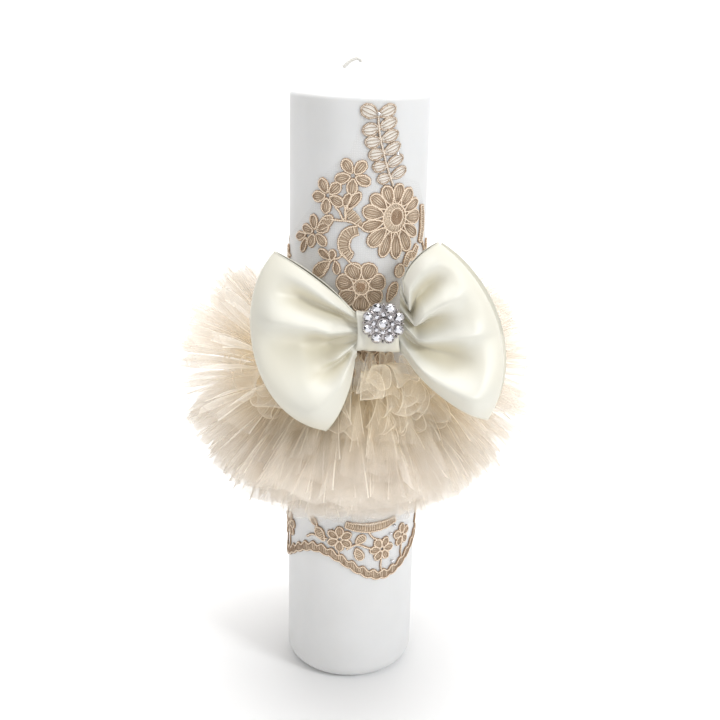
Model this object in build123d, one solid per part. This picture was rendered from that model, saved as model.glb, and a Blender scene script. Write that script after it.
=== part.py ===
import os
from math import atan2, cos, degrees, radians, sin, sqrt

from build123d import *

# Decorated pillar candle: wax candle, lace sleeve, gathered tulle pouf, satin bow and rhinestone brooch.
# +Z is up, the origin is the centre of the base, and the front of the bow looks along -Y.
# Angles round the candle are in degrees from the front, and grow towards +X. Lengths are in millimetres.
# Heights on the dressing (lace, tulle, bow and pins) are measured from the dressing's datum, which lies
# dressing_lift above the base, so that the lace peak stays just under the candle's shoulder.

# ---- Candle ----
candle_radius = 35.0
candle_height = 330.0
cone_height = 15.0
base_edge_radius = 8.0
shoulder_edge_radius = 2.5

# ---- Wick and its tin sustainer ----
wick_radius = 1.0
wick_bore_clearance = 0.05
wick_rise = 2.6
wick_reach = 8.6
wick_bend_radius = 1.9
wick_tip_gap = 0.25
sustainer_radius = 16.0
sustainer_thickness = 0.5
sustainer_collar_radius = 2.6
sustainer_collar_height = 6.0
sustainer_clearance = 0.1
sustainer_recess_depth = 1.0

# ---- Lace sleeve: net ground with embroidered motifs on its outside ----
lace_peak_height = 314.0
lace_peak_gap = 1.0
net_thickness = 0.3
embroidery_thickness = 0.8
lace_low_mean = 69.3
lace_low_wave = 7.5
lace_scallops = 3
lace_low_angle = 30.0
border_width = 6.0
crescent_width = 5.0
crescent_rise = 32.5
crescent_reach = 14.0
crescent_angle = 20.0
crescent_pin = (12.3, 92.0)  # along the crescent from its middle, and height
border_stem_width = 1.2
border_stem_overlap = 1.0
sprig_stem_length = 34.0
sprig_stem_lean = 9.0
scroll_radius = 7.0
scroll_width = 5.0
net_top_points = [
    (-180, 270), (-150, 264), (-120, 250), (-90, 238), (-60, 250), (-40, 262), (-26, 280), (-6, 290),
    (4, lace_peak_height), (24, lace_peak_height), (34, 296), (40, 277), (58, 274), (72, 258), (90, 256),
    (120, 248), (150, 262), (180, 270),
]

# ---- Pins that hold the lace: angle and height. One more stands on the front crescent ----
pin_radius = 0.35
pin_length = 10.0
pin_head_radius = 0.9
pin_places = [
    (14.5, 307.5), (31, 289), (36, 88), (39, 71),
    (-93, 226), (-155, 256), (155, 256), (-93, 84), (-150, 84), (150, 84),
]

# ---- Tulle pouf: layers that fan out from one gathering line ----
gather_height = 167.0
gather_pitch = 2.0
thread_radius = 0.4
tulle_strip_length = 57.0
tulle_layer_thickness = 0.6
tulle_low_fan_angles = [-75, -56, -37]
tulle_high_fan_angles = [12, 32, 52]
tulle_bow_gap = 1.0
tulle_front_gap = (-58.0, 64.0)
rosette_gap = 2.4
rosette_height = 178.0
rosette_thickness = 11.0
rosette_rise = 14.0
rosette_span = (-25.0, 45.0)

# ---- Satin bow ----
knot_x = 11.3
knot_height_on_candle = 205.0
knot_width = 21.0
knot_wall = 1.8
knot_corner_radius = 3.0
knot_standoff = 4.0
waist_height = 15.0
waist_depth = 5.6
waist_clearance = 0.15
pinch_thread_width = 3.0
pinch_thread_thickness = 0.7
loop_thickness = 9.0
loop_gap = 0.3
loop_drop = 44.6
loop_lean_above = 0.10
loop_lean_below = 0.45
glue_pad_radius = 6.0
# Places on the loops' edges: out from the knot's end, and up from its centre
left_waist_half = 8.0
left_upper_middle = (18.0, 24.0)
left_corner = (40.0, 37.5)
left_widest = (51.5, 8.0)
left_belly = (42.0, -27.0)
left_tip = (13.5, -loop_drop)
left_lower_middle = (5.0, -31.0)
right_waist_half = 8.5
right_upper_middle = (2.0, 29.0)
right_corner = (17.0, 43.5)
right_shoulder = (36.0, 25.5)
right_widest = (50.5, -13.5)
right_tip = (43.0, -38.0)
right_lower_middle = (19.0, -26.5)

# ---- Rhinestone brooch ----
brooch_dx = 2.2
brooch_dz = 6.0
brooch_plate_margin = 0.6
brooch_plate_thickness = 1.2
ring_stone_count = 8
outer_stone_radius = 2.3
cup_wall = 0.35
cup_gap = 0.8
setting_gap = 0.2
cup_height = 2.0
inner_stone_radius = 1.3
bezel_radius = 2.9
bezel_height = 2.6
centre_stone_radius = 2.3
stone_girdle = 0.9
inner_seat_height = 0.7
shank_radius = 1.5

# ---- Places that follow from the sizes above ----
dressing_lift = candle_height - cone_height - lace_peak_gap - lace_peak_height
knot_z = knot_height_on_candle + dressing_lift
net_outside = candle_radius + net_thickness
lace_outside = net_outside + embroidery_thickness
pin_places.append((crescent_angle + degrees(crescent_pin[0] / net_outside), crescent_pin[1]))
motif_depth = 4 * embroidery_thickness
bore_depth = waist_depth + 2 * (pinch_thread_thickness + waist_clearance)
bore_height = waist_height + 2 * (pinch_thread_thickness + waist_clearance)
knot_depth = bore_depth + 2 * knot_wall
knot_height = bore_height + 2 * knot_wall
knot_back_y = -(lace_outside + knot_standoff)
knot_y = knot_back_y - knot_depth / 2
knot_front_y = knot_back_y - knot_depth


def tube(inner, outer, height):
    """Upright tube that stands on the base plane."""
    return Pos(0, 0, height / 2) * (Cylinder(outer, height) - Cylinder(inner, height))


def surface_plane(angle, height, radius=candle_radius):
    """Plane on the candle's side, at a height on the dressing: normal outwards and Y upwards."""
    a = radians(angle)
    return Plane(
        origin=(radius * sin(a), -radius * cos(a), height + dressing_lift),
        x_dir=(cos(a), sin(a), 0),
        z_dir=(sin(a), -cos(a), 0),
    )


# ---------------------------------------------------------------- candle, wick and sustainer
def pin_shaft(angle, height):
    length = pin_length + lace_outside - net_outside
    plane = surface_plane(angle, height, lace_outside - length)
    return plane * extrude(Circle(pin_radius), amount=length)


def candle_body():
    outline = Polyline(
        (0, 0),
        (candle_radius, 0),
        (candle_radius, candle_height - cone_height),
        (0, candle_height),
        close=True,
    )
    body = revolve(Plane.XZ * make_face(outline), Axis.Z)
    rims = body.edges().filter_by(GeomType.CIRCLE).sort_by(Axis.Z)
    body = fillet(rims[0], base_edge_radius)
    rims = body.edges().filter_by(GeomType.CIRCLE).sort_by(Axis.Z)
    body = fillet(rims[-1], shoulder_edge_radius)
    recess_radius = sustainer_radius + sustainer_clearance
    body -= Pos(0, 0, sustainer_recess_depth / 2) * Cylinder(recess_radius, sustainer_recess_depth)
    collar_top = sustainer_recess_depth + sustainer_collar_height
    collar_radius = sustainer_collar_radius + sustainer_clearance
    body -= Pos(0, 0, collar_top / 2) * Cylinder(collar_radius, collar_top)
    body -= Pos(0, 0, candle_height / 2) * Cylinder(wick_radius + wick_bore_clearance, candle_height)
    for place in pin_places:
        body -= pin_shaft(*place)
    return body


def wick_sustainer():
    seat = sustainer_recess_depth - sustainer_thickness
    plate = Pos(0, 0, seat + sustainer_thickness / 2) * Cylinder(sustainer_radius, sustainer_thickness)
    collar = Pos(0, 0, seat + sustainer_collar_height / 2) * Cylinder(
        sustainer_collar_radius, sustainer_collar_height)
    bore = Pos(0, 0, candle_height / 2) * Cylinder(wick_radius, candle_height)
    return plate + collar - bore


def wick():
    """Braided wick: straight up through the wax, over a tight bend and down along the cone."""
    slope = cone_height / candle_radius
    clear_of_cone = (wick_radius + wick_tip_gap) * sqrt(1 + slope ** 2)
    tip_height = candle_height - slope * wick_reach + clear_of_cone
    foot = sustainer_recess_depth - sustainer_thickness
    path = FilletPolyline(
        (0, 0, foot),
        (0, 0, candle_height + wick_rise),
        (-wick_reach, 0, tip_height),
        radius=wick_bend_radius,
    )
    return sweep(Pos(0, 0, foot) * Circle(wick_radius), path=path)


# ---------------------------------------------------------------- lace sleeve
def lace_low(angle):
    """Height of the scalloped lower edge."""
    return lace_low_mean - lace_low_wave * cos(radians(lace_scallops * (angle - lace_low_angle)))


def border_top(angle):
    return lace_low(angle) + border_width


def net_top(angle):
    """Height of the net's upper edge, with its peak at the front."""
    turned = (angle + 180) % 360 - 180
    for (a0, z0), (a1, z1) in zip(net_top_points, net_top_points[1:]):
        if a0 <= turned <= a1:
            return z0 + (z1 - z0) * (turned - a0) / (a1 - a0)


def wrapped_band(low, high, inner, outer, step=6):
    """Part of a tube between two edges, each a height on the dressing by angle, made in two halves."""
    ring = tube(inner, outer, candle_height)
    halves = []
    for start, depth in ((-90, outer + 1), (90, -outer - 1)):
        lower, upper = [], []
        for angle in range(start, start + 181, step):
            at_side = angle in (start, start + 180)
            x = (outer + 1 if at_side else candle_radius) * sin(radians(angle))
            lower.append((x, low(angle) + dressing_lift))
            upper.append((x, high(angle) + dressing_lift))
        face = make_face(Polyline(*lower, *reversed(upper), close=True))
        halves.append(ring & extrude(Plane.XZ * face, amount=depth))
    return halves[0] + halves[1]


def petal(length, width, start, turn):
    return Rot(0, 0, turn) * Pos(start + length / 2, 0) * Ellipse(length / 2, width / 2)


def raised(angle, height, sketch):
    """Sketch on the candle's side, pushed through the embroidery's thickness."""
    return extrude(surface_plane(angle, height) * sketch, amount=motif_depth, both=True)


def flower(angle, height, petals, reach, width, hub=1.5, turn=90.0):
    sketch = Circle(hub)
    for i in range(petals):
        sketch += petal(reach - hub / 2, width, hub / 2, turn + 360 * i / petals)
    return raised(angle, height, sketch)


def leaf(angle, height, length, width, turn):
    return raised(angle, height, Rot(0, 0, turn) * Ellipse(length / 2, width / 2))


def cord(angle, height, points, width):
    """Stem of corded embroidery through points given about its own place."""
    return raised(angle, height, trace(Polyline(*points), width))


def embroidered(motifs):
    """What of the motifs lies in the embroidery's thickness, joined where it touches."""
    joined = motifs[0]
    for motif in motifs[1:]:
        joined += motif
    joined = tube(net_outside, lace_outside, candle_height) & joined
    for place in pin_places:
        joined -= pin_shaft(*place)
    return joined


def lace_net_sleeve():
    net = wrapped_band(lace_low, net_top, candle_radius, net_outside)
    for place in pin_places:
        net -= pin_shaft(*place)
    return net


def lace_border_band():
    return wrapped_band(lace_low, border_top, net_outside, lace_outside)


def lace_crescent_bands():
    """Hatched crescents above the border's low points."""
    bands = []
    for i in range(lace_scallops):
        middle = crescent_angle + i * 360 / lace_scallops
        arc = ThreePointArc((-crescent_reach, 2), (0, -1), (crescent_reach, 2))
        height = lace_low(lace_low_angle) + crescent_rise
        bands.append(raised(middle, height, trace(arc, crescent_width)))
    return embroidered(bands)


def border_stem(angle, height):
    """Cord from a flower down into the border."""
    return cord(angle, height, [(0, 0), (0, border_top(angle) - border_stem_overlap - height)], border_stem_width)


def lace_border_flowers():
    """Two six-petal flowers and one side flower in each scallop, each on a stem that meets the border."""
    motifs = []
    for i in range(lace_scallops):
        turned = i * 360 / lace_scallops
        motifs.append(flower(turned - 9.6, 87.4, 6, 6.4, 4.0))
        motifs.append(flower(turned + 28.3, 79.8, 6, 6.6, 3.9, turn=62))
        motifs.append(flower(turned + 51.0, 84.6, 5, 6.4, 4.2, turn=20))
        motifs.append(border_stem(turned - 9.6, 87.4))
        motifs.append(border_stem(turned + 28.3, 79.8))
        motifs.append(border_stem(turned + 51.0, 84.6))
    return embroidered(motifs) - lace_border_band()


def lace_border_leaves():
    motifs = []
    for i in range(lace_scallops):
        turned = i * 360 / lace_scallops
        motifs.append(leaf(turned - 27, 87.9, 8.5, 5.0, -52))
        motifs.append(leaf(turned - 33.6, 94.0, 6.0, 3.0, -50))
        motifs.append(leaf(turned + 8.3, 86.9, 6.2, 4.4, 40))
        motifs.append(leaf(turned + 7.0, 78.4, 7.0, 4.6, -65))
    return embroidered(motifs)


def lace_large_flower():
    """Twelve-petal flower with an oval ring at its heart."""
    sketch = Ellipse(5.6, 6.8)
    for i in range(12):
        sketch += petal(9.5, 5.0, 5.0, 15 + 30 * i)
    return embroidered([raised(30.5, 257.3, sketch)])


def lace_round_flower():
    return embroidered([flower(3.9, 224.4, 7, 11.8, 8.0, hub=3.9, turn=65)])


def lace_small_flowers():
    return embroidered([
        flower(-3.6, 278.3, 5, 8.2, 4.8, turn=54),
        flower(-24.0, 268.4, 5, 7.8, 4.8, turn=50),
        flower(-36.5, 250.2, 5, 7.0, 4.6, turn=100),
    ])


def lace_leaf_spray():
    """Peak sprig: a stem with leaves on both sides."""
    stem = [(sprig_stem_lean * t ** 1.7, -sprig_stem_length * t) for t in (0, 0.25, 0.5, 0.75, 1)]
    motifs = [cord(14.0, 307.5, stem, 1.4)]
    for angle, height in ((8, 308.6), (9, 299.8), (13, 292.0), (16, 285.8), (17.5, 279.6)):
        motifs.append(leaf(angle, height, 8.0, 5.4, -32))
    for angle, height in ((20.5, 308.6), (24.5, 302.2), (26.8, 296.6), (28.5, 289.4), (31.5, 280.0)):
        motifs.append(leaf(angle, height, 7.6, 5.0, 32))
    return embroidered(motifs)


def lace_scroll_leaf():
    """Hatched scroll, its stems and the pair of leaves beside them."""
    turns = [radians(angle) for angle in range(90, 241, 30)]
    scroll = [(scroll_radius * (0.5 + cos(a)), scroll_radius * sin(a)) for a in turns]
    return embroidered([
        cord(-5.0, 245.5, scroll, scroll_width),
        cord(-9.0, 257.0, [(-6.5, 0), (0, 0), (6.5, -4)], 1.4),
        cord(-12.0, 260.5, [(-2, 1), (0, -2), (1.5, -3)], 1.4),
        leaf(-2.6, 262.0, 10.0, 5.0, -62),
        leaf(-20.4, 256.8, 7.0, 4.2, 10),
        leaf(-29.8, 232.4, 10.0, 6.4, 42),
        leaf(-16.5, 236.6, 7.0, 4.0, -75),
    ])


def lace_side_motifs():
    """Sprigs at the sides and the flowers that go on round the back."""
    motifs = [
        leaf(37.6, 231.4, 7.0, 5.0, 60),
        leaf(46.0, 236.0, 7.0, 4.0, 50),
        leaf(30.6, 221.0, 8.0, 4.4, 65),
        leaf(64.0, 253.0, 15.0, 4.6, 88),
        leaf(-84.0, 231.0, 8.0, 4.6, 60),
    ]
    for angle, height in ((-115, 236), (-155, 250), (155, 250), (118, 236)):
        motifs.append(flower(angle, height, 6, 11.0, 7.0, hub=3.0))
    return embroidered(motifs)


def lace_pins():
    pins = []
    for angle, height in pin_places:
        head = surface_plane(angle, height, lace_outside) * Sphere(pin_head_radius)
        head -= Pos(0, 0, candle_height / 2) * Cylinder(lace_outside, candle_height)
        pins.append(pin_shaft(angle, height) + head)
    return Compound(children=pins)


# ---------------------------------------------------------------- tulle pouf
layer_count = len(tulle_low_fan_angles) + 1 + len(tulle_high_fan_angles)
root_radius = lace_outside + 2 * thread_radius


def root_height(layer):
    return dressing_lift + gather_height + (layer - (layer_count - 1) / 2) * gather_pitch


def fan_angles():
    """Slope of each layer, from the lowest up. The middle one just passes under the tips of the bow."""
    drop = root_height(len(tulle_low_fan_angles)) - (knot_z - loop_drop - tulle_bow_gap)
    reach = -loop_lean(knot_z - loop_drop) - loop_thickness / 2 - root_radius
    return [*tulle_low_fan_angles, -degrees(atan2(drop, reach)), *tulle_high_fan_angles]


def tulle_gathering_thread():
    """One turn of thread round the lace at the root of each layer."""
    turns = []
    for layer in range(layer_count):
        turns.append(Pos(0, 0, root_height(layer)) * Torus(lace_outside + thread_radius, thread_radius))
    return Compound(children=turns)


def sector(start, end, radius, low, high):
    """Wedge of space between two angles, seen from the candle's axis."""
    points = [(0, 0)]
    steps = 8
    for i in range(steps + 1):
        a = radians(start + (end - start) * i / steps)
        points.append((radius * sin(a), -radius * cos(a)))
    return Pos(0, 0, low) * extrude(make_face(Polyline(*points, close=True)), amount=high - low)


def tulle_layer(layer):
    """Gathered ring of strips: a thin cone from the thread out to the strips' cut edge."""
    slope = radians(fan_angles()[layer])
    out = (cos(slope), sin(slope))
    off = (-sin(slope) * tulle_layer_thickness / 2, cos(slope) * tulle_layer_thickness / 2)
    start = (root_radius + abs(off[0]), root_height(layer))
    end = (start[0] + tulle_strip_length * out[0], start[1] + tulle_strip_length * out[1])
    outline = Polyline(
        (start[0] + off[0], start[1] + off[1]),
        (end[0] + off[0], end[1] + off[1]),
        (end[0] - off[0], end[1] - off[1]),
        (start[0] - off[0], start[1] - off[1]),
        close=True,
    )
    cone = revolve(Plane.XZ * make_face(outline), Axis.Z)
    if slope > 0:
        cone -= sector(*tulle_front_gap, 2 * (root_radius + tulle_strip_length), 0, candle_height)
    return cone


def tulle_rosette():
    """Crumpled puff of tulle at the front, under the knot."""
    start, end = rosette_span
    middle = lace_outside + rosette_gap + rosette_thickness / 2
    section = Plane.XZ * Pos(middle, rosette_height + dressing_lift) * Ellipse(
        rosette_thickness / 2, rosette_rise / 2)
    puff = revolve(section, Axis.Z, revolution_arc=end - start)
    return Rot(0, 0, start - 90) * puff


# ---------------------------------------------------------------- satin bow
def rounded_block(width, depth, height, radius):
    """Block along X whose edges along X are rounded."""
    face = Plane.YZ * RectangleRounded(depth, height, radius)
    return extrude(face, amount=width / 2, both=True)


def knot_frame():
    return Pos(knot_x, knot_y, knot_z)


def bow_knot_band():
    outer = rounded_block(knot_width, knot_depth, knot_height, knot_corner_radius)
    inner = rounded_block(2 * knot_width, bore_depth, bore_height, bore_depth / 3)
    return knot_frame() * (outer - inner) - brooch_shank()


def bow_pinch_thread():
    """Thread wound round the gathered waist, inside the knot."""
    outer = rounded_block(
        pinch_thread_width,
        waist_depth + 2 * pinch_thread_thickness,
        waist_height + 2 * pinch_thread_thickness,
        waist_depth / 3 + pinch_thread_thickness,
    )
    inner = rounded_block(2 * pinch_thread_width, waist_depth, waist_height, waist_depth / 3)
    return knot_frame() * (outer - inner)


def loop_lean(height):
    """Y of the middle of a loop's thickness: it leans out over the tulle below the knot."""
    rise = height - knot_z
    return knot_y - (loop_lean_below * -rise if rise < 0 else -loop_lean_above * rise)


def loop_slab():
    """Leaning slab of space that holds both loops."""
    low = knot_z - 60
    high = knot_z + 60
    middle = [(loop_lean(high), high), (knot_y, knot_z), (loop_lean(low), low)]
    half = loop_thickness / 2
    front = [(y - half, z) for y, z in middle]
    back = [(y + half, z) for y, z in reversed(middle)]
    face = Plane.YZ * make_face(Polyline(*front, *back, close=True))
    return extrude(face, amount=4 * candle_radius, both=True)


def loop_face(edges, mirror):
    """Outline of one loop from its edges, each a curve through points given as
    (out from the knot's end, up from the knot's centre)."""
    end = knot_x + mirror * (knot_width / 2 + loop_gap)
    curves = []
    for points in edges:
        curves.append(Spline(*[(end + mirror * out, knot_z + up) for out, up in points]))
    curves.append(Line(curves[-1] @ 1, curves[0] @ 0))
    return Plane.XZ * make_face(curves)


def bow_loop(edges, mirror):
    """One side of the bow: a padded panel and its half of the waist inside the knot."""
    panel = extrude(loop_face(edges, mirror), amount=4 * candle_radius) & loop_slab()
    waist_length = knot_width / 2 + loop_gap
    waist = rounded_block(waist_length, waist_depth, waist_height, waist_depth / 3)
    return panel + knot_frame() * Pos(mirror * waist_length / 2, 0, 0) * waist


def bow_left_loop():
    upper = [(0, left_waist_half), left_upper_middle, left_corner]
    outer = [left_corner, left_widest, left_belly, left_tip]
    lower = [left_tip, left_lower_middle, (0, -left_waist_half)]
    return bow_loop((upper, outer, lower), -1)


def bow_right_loop():
    upper = [(0, right_waist_half), right_upper_middle, right_corner]
    outer = [right_corner, right_shoulder, right_widest, right_tip]
    lower = [right_tip, right_lower_middle, (0, -right_waist_half)]
    return bow_loop((upper, outer, lower), 1)


def bow_glue_pad():
    """Set pad of glue between the lace and the back of the knot."""
    length = -knot_back_y
    pad = Pos(knot_x, 0, knot_z) * extrude(Plane.XZ * Circle(glue_pad_radius), amount=length)
    return pad - Pos(0, 0, candle_height / 2) * Cylinder(net_outside, candle_height)


# ---------------------------------------------------------------- rhinestone brooch
STAND = (Align.CENTER, Align.CENTER, Align.MIN)
cup_radius = outer_stone_radius + cup_wall
inner_ring_radius = bezel_radius + setting_gap + inner_stone_radius


def outer_ring_radius():
    """Ring on which the cups clear both their neighbours and the inner stones."""
    half_turn = radians(180 / ring_stone_count)
    beside = (cup_radius + cup_gap / 2) / sin(half_turn)
    spacing = cup_radius + inner_stone_radius + setting_gap
    inner_half_pitch = inner_ring_radius * sin(half_turn)
    around = inner_ring_radius * cos(half_turn) + sqrt(spacing ** 2 - inner_half_pitch ** 2)
    return max(beside, around)


def brooch_frame(out=0.0):
    """Plane on the front of the knot, a distance out from it, with its normal towards the front."""
    return Plane(
        origin=(knot_x + brooch_dx, knot_front_y - out, knot_z + brooch_dz),
        x_dir=(1, 0, 0),
        z_dir=(0, -1, 0),
    )


def stone_ring(count, radius, first):
    return [Rot(0, 0, first + 360 * i / count) * Pos(radius, 0, 0) for i in range(count)]


def outer_places():
    return stone_ring(ring_stone_count, outer_ring_radius(), 180 / ring_stone_count)


def inner_places():
    return stone_ring(ring_stone_count, inner_ring_radius, 0)


def brooch_shank():
    """Peg that holds the brooch through the front wall of the knot band."""
    return brooch_frame(-knot_wall) * Cylinder(shank_radius, knot_wall, align=STAND)


def stone(radius):
    """Cut stone: a short girdle and a crown above it, standing on its own origin."""
    girdle = Cylinder(radius, stone_girdle, align=STAND)
    crown = Pos(0, 0, stone_girdle) * Cone(radius, radius / 2, radius / 2, align=STAND)
    return girdle + crown


def brooch_base():
    """Back plate with a cup for each outer stone and a raised seat for each inner one."""
    plate_radius = outer_ring_radius() + brooch_plate_margin
    base = Cylinder(plate_radius, brooch_plate_thickness, align=STAND)
    for place in outer_places():
        base += place * Cylinder(cup_radius, cup_height, align=STAND)
    for place in inner_places():
        base += place * Cylinder(inner_stone_radius, brooch_plate_thickness + inner_seat_height, align=STAND)
    for place in outer_places():
        pocket = Cylinder(outer_stone_radius, stone_girdle, align=STAND)
        base -= place * Pos(0, 0, cup_height - stone_girdle) * pocket
    return brooch_frame() * base


def brooch_outer_stones():
    seat = Pos(0, 0, cup_height - stone_girdle)
    return Compound(children=[brooch_frame() * place * seat * stone(outer_stone_radius)
                              for place in outer_places()])


def brooch_inner_stones():
    seat = Pos(0, 0, brooch_plate_thickness + inner_seat_height)
    return Compound(children=[brooch_frame() * place * seat * stone(inner_stone_radius)
                              for place in inner_places()])


def brooch_center_bezel():
    """Raised cup for the middle stone."""
    bezel = Cylinder(bezel_radius, bezel_height, align=STAND)
    pocket = Pos(0, 0, bezel_height - stone_girdle) * Cylinder(centre_stone_radius, stone_girdle, align=STAND)
    return brooch_frame(brooch_plate_thickness) * (bezel - pocket)


def brooch_center_stone():
    return brooch_frame(brooch_plate_thickness + bezel_height - stone_girdle) * stone(centre_stone_radius)


# ---------------------------------------------------------------- write each piece to its own file
def write(name, shape):
    export_step(shape, f"parts/{name}.step")


os.makedirs("parts", exist_ok=True)
for piece in (
    candle_body, wick, wick_sustainer,
    lace_net_sleeve, lace_border_band, lace_crescent_bands, lace_border_flowers, lace_border_leaves,
    lace_large_flower, lace_round_flower, lace_small_flowers, lace_leaf_spray, lace_scroll_leaf,
    lace_side_motifs, lace_pins,
    tulle_gathering_thread, tulle_rosette,
    bow_left_loop, bow_right_loop, bow_knot_band, bow_pinch_thread, bow_glue_pad,
    brooch_base, brooch_shank, brooch_outer_stones, brooch_inner_stones, brooch_center_bezel,
    brooch_center_stone,
):
    write(piece.__name__, piece())
for layer in range(layer_count):
    write(f"tulle_layer_{layer + 1}", tulle_layer(layer))
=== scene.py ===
"""Looks of the decorated pillar candle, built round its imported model.

Lengths in this script are in millimetres and are turned into metres when a mesh is made. Places on the
candle's side are (s, z): s is the arc length from the front towards +X, z the height.
"""

import math

import bpy
import numpy as np
from mathutils import Matrix, Vector


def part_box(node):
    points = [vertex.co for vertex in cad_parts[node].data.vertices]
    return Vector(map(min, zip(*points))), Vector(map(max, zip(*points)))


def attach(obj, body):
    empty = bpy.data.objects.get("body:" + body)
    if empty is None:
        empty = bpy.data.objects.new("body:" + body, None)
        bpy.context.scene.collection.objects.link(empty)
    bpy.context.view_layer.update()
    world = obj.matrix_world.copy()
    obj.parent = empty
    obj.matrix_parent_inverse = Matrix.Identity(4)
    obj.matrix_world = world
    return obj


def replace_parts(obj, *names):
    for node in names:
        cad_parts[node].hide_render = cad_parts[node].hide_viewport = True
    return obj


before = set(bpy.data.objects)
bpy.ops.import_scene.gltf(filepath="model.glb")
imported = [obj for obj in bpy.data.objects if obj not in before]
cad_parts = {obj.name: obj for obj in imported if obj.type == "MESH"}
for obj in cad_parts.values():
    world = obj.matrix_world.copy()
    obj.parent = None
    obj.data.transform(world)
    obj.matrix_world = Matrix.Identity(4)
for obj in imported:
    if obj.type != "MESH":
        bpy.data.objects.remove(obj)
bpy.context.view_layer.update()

MM = 0.001
RNG = np.random.default_rng(7)  # draws for the lace only; the other parts have their own


def node_box(name):
    """Lowest and highest corner of a CAD node, in millimetres."""
    low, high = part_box(name)
    return np.array(low) / MM, np.array(high) / MM


# ------------------------------------------------------------------ places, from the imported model
candle_high = node_box("candle_body")[1]
candle_radius = candle_high[0]
net_outside = node_box("lace_net_sleeve")[1][0]
lace_outside = node_box("lace_border_band")[1][0]
thread_low, thread_high = node_box("tulle_gathering_thread")
gather_z = (thread_low[2] + thread_high[2]) / 2
root_radius = thread_high[0]
knot_low, knot_high = node_box("bow_knot_band")
knot_mid = (knot_low + knot_high) / 2
brooch_low, brooch_high = node_box("brooch_base")
brooch_mid = (brooch_low + brooch_high) / 2
motif_radius = (net_outside + lace_outside) / 2
LAYERS = 7


# ------------------------------------------------------------------ mesh tools
class Build:
    """Collects vertices, faces, UVs and material numbers for one mesh."""

    def __init__(self):
        self.verts, self.faces, self.uvs, self.mats = [], [], [], []
        self.count = 0

    def add(self, verts, faces, uvs, mat=0):
        self.verts.append(np.asarray(verts, float))
        self.uvs.append(np.asarray(uvs, float))
        self.faces.extend([tuple(i + self.count for i in f) for f in faces])
        self.mats.extend([mat] * len(faces))
        self.count += len(verts)

    def grid(self, place, uvs, mat=0, closed=False):
        """Rows of vertices joined by quads."""
        faces = grid_faces(place.shape[0], place.shape[1], closed)
        self.add(place.reshape(-1, 3), faces, uvs.reshape(-1, 2), mat)

    def piece(self, name, materials, smooth=True):
        """The mesh object, in metres."""
        verts = np.concatenate(self.verts) * MM
        uvs = np.concatenate(self.uvs)
        mesh = bpy.data.meshes.new(name)
        mesh.from_pydata(verts.tolist(), [], self.faces)
        layer = mesh.uv_layers.new(name="UVMap")
        corners = np.empty(len(mesh.loops), np.int32)
        mesh.loops.foreach_get("vertex_index", corners)
        layer.data.foreach_set("uv", uvs[corners].astype(np.float32).ravel())
        for material in materials:
            mesh.materials.append(material)
        mesh.polygons.foreach_set("material_index", np.array(self.mats, np.int32))
        mesh.polygons.foreach_set("use_smooth", [smooth] * len(mesh.polygons))
        mesh.update()
        obj = bpy.data.objects.new(name, mesh)
        bpy.context.scene.collection.objects.link(obj)
        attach(obj, "root")
        return obj


def grid_faces(rows, columns, closed=False):
    """Quads of a grid whose vertices run column by column within each row."""
    faces = []
    wide = columns if closed else columns - 1
    for r in range(rows - 1):
        for c in range(wide):
            n = (c + 1) % columns
            faces.append((r * columns + c, r * columns + n, (r + 1) * columns + n, (r + 1) * columns + c))
    return faces


def along_line(points):
    """Distance along a line at each of its points."""
    return np.concatenate([[0], np.cumsum(np.linalg.norm(np.diff(points, axis=0), axis=1))])


def full_turn(count):
    return np.linspace(0, 2 * math.pi, count, endpoint=False)


def smooth_line(points, count, closed=False):
    """Evenly spaced points on the smooth curve through a few given ones."""
    p = np.asarray(points, float)
    if closed:
        p = np.vstack([p[-1], p, p[0], p[1]])
    else:
        p = np.vstack([2 * p[0] - p[1], p, 2 * p[-1] - p[-2]])
    fine = []
    for i in range(1, len(p) - 2):
        t = np.linspace(0, 1, 12, endpoint=False)[:, None]
        a, b, c, d = p[i - 1], p[i], p[i + 1], p[i + 2]
        fine.append(0.5 * (2 * b + (c - a) * t + (2 * a - 5 * b + 4 * c - d) * t ** 2
                           + (3 * b - a - 3 * c + d) * t ** 3))
    fine.append(p[-2][None, :])
    line = np.vstack(fine)
    along = along_line(line)
    wanted = np.linspace(0, along[-1], count, endpoint=not closed)
    return np.stack([np.interp(wanted, along, line[:, k]) for k in range(line.shape[1])], 1)


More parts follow.
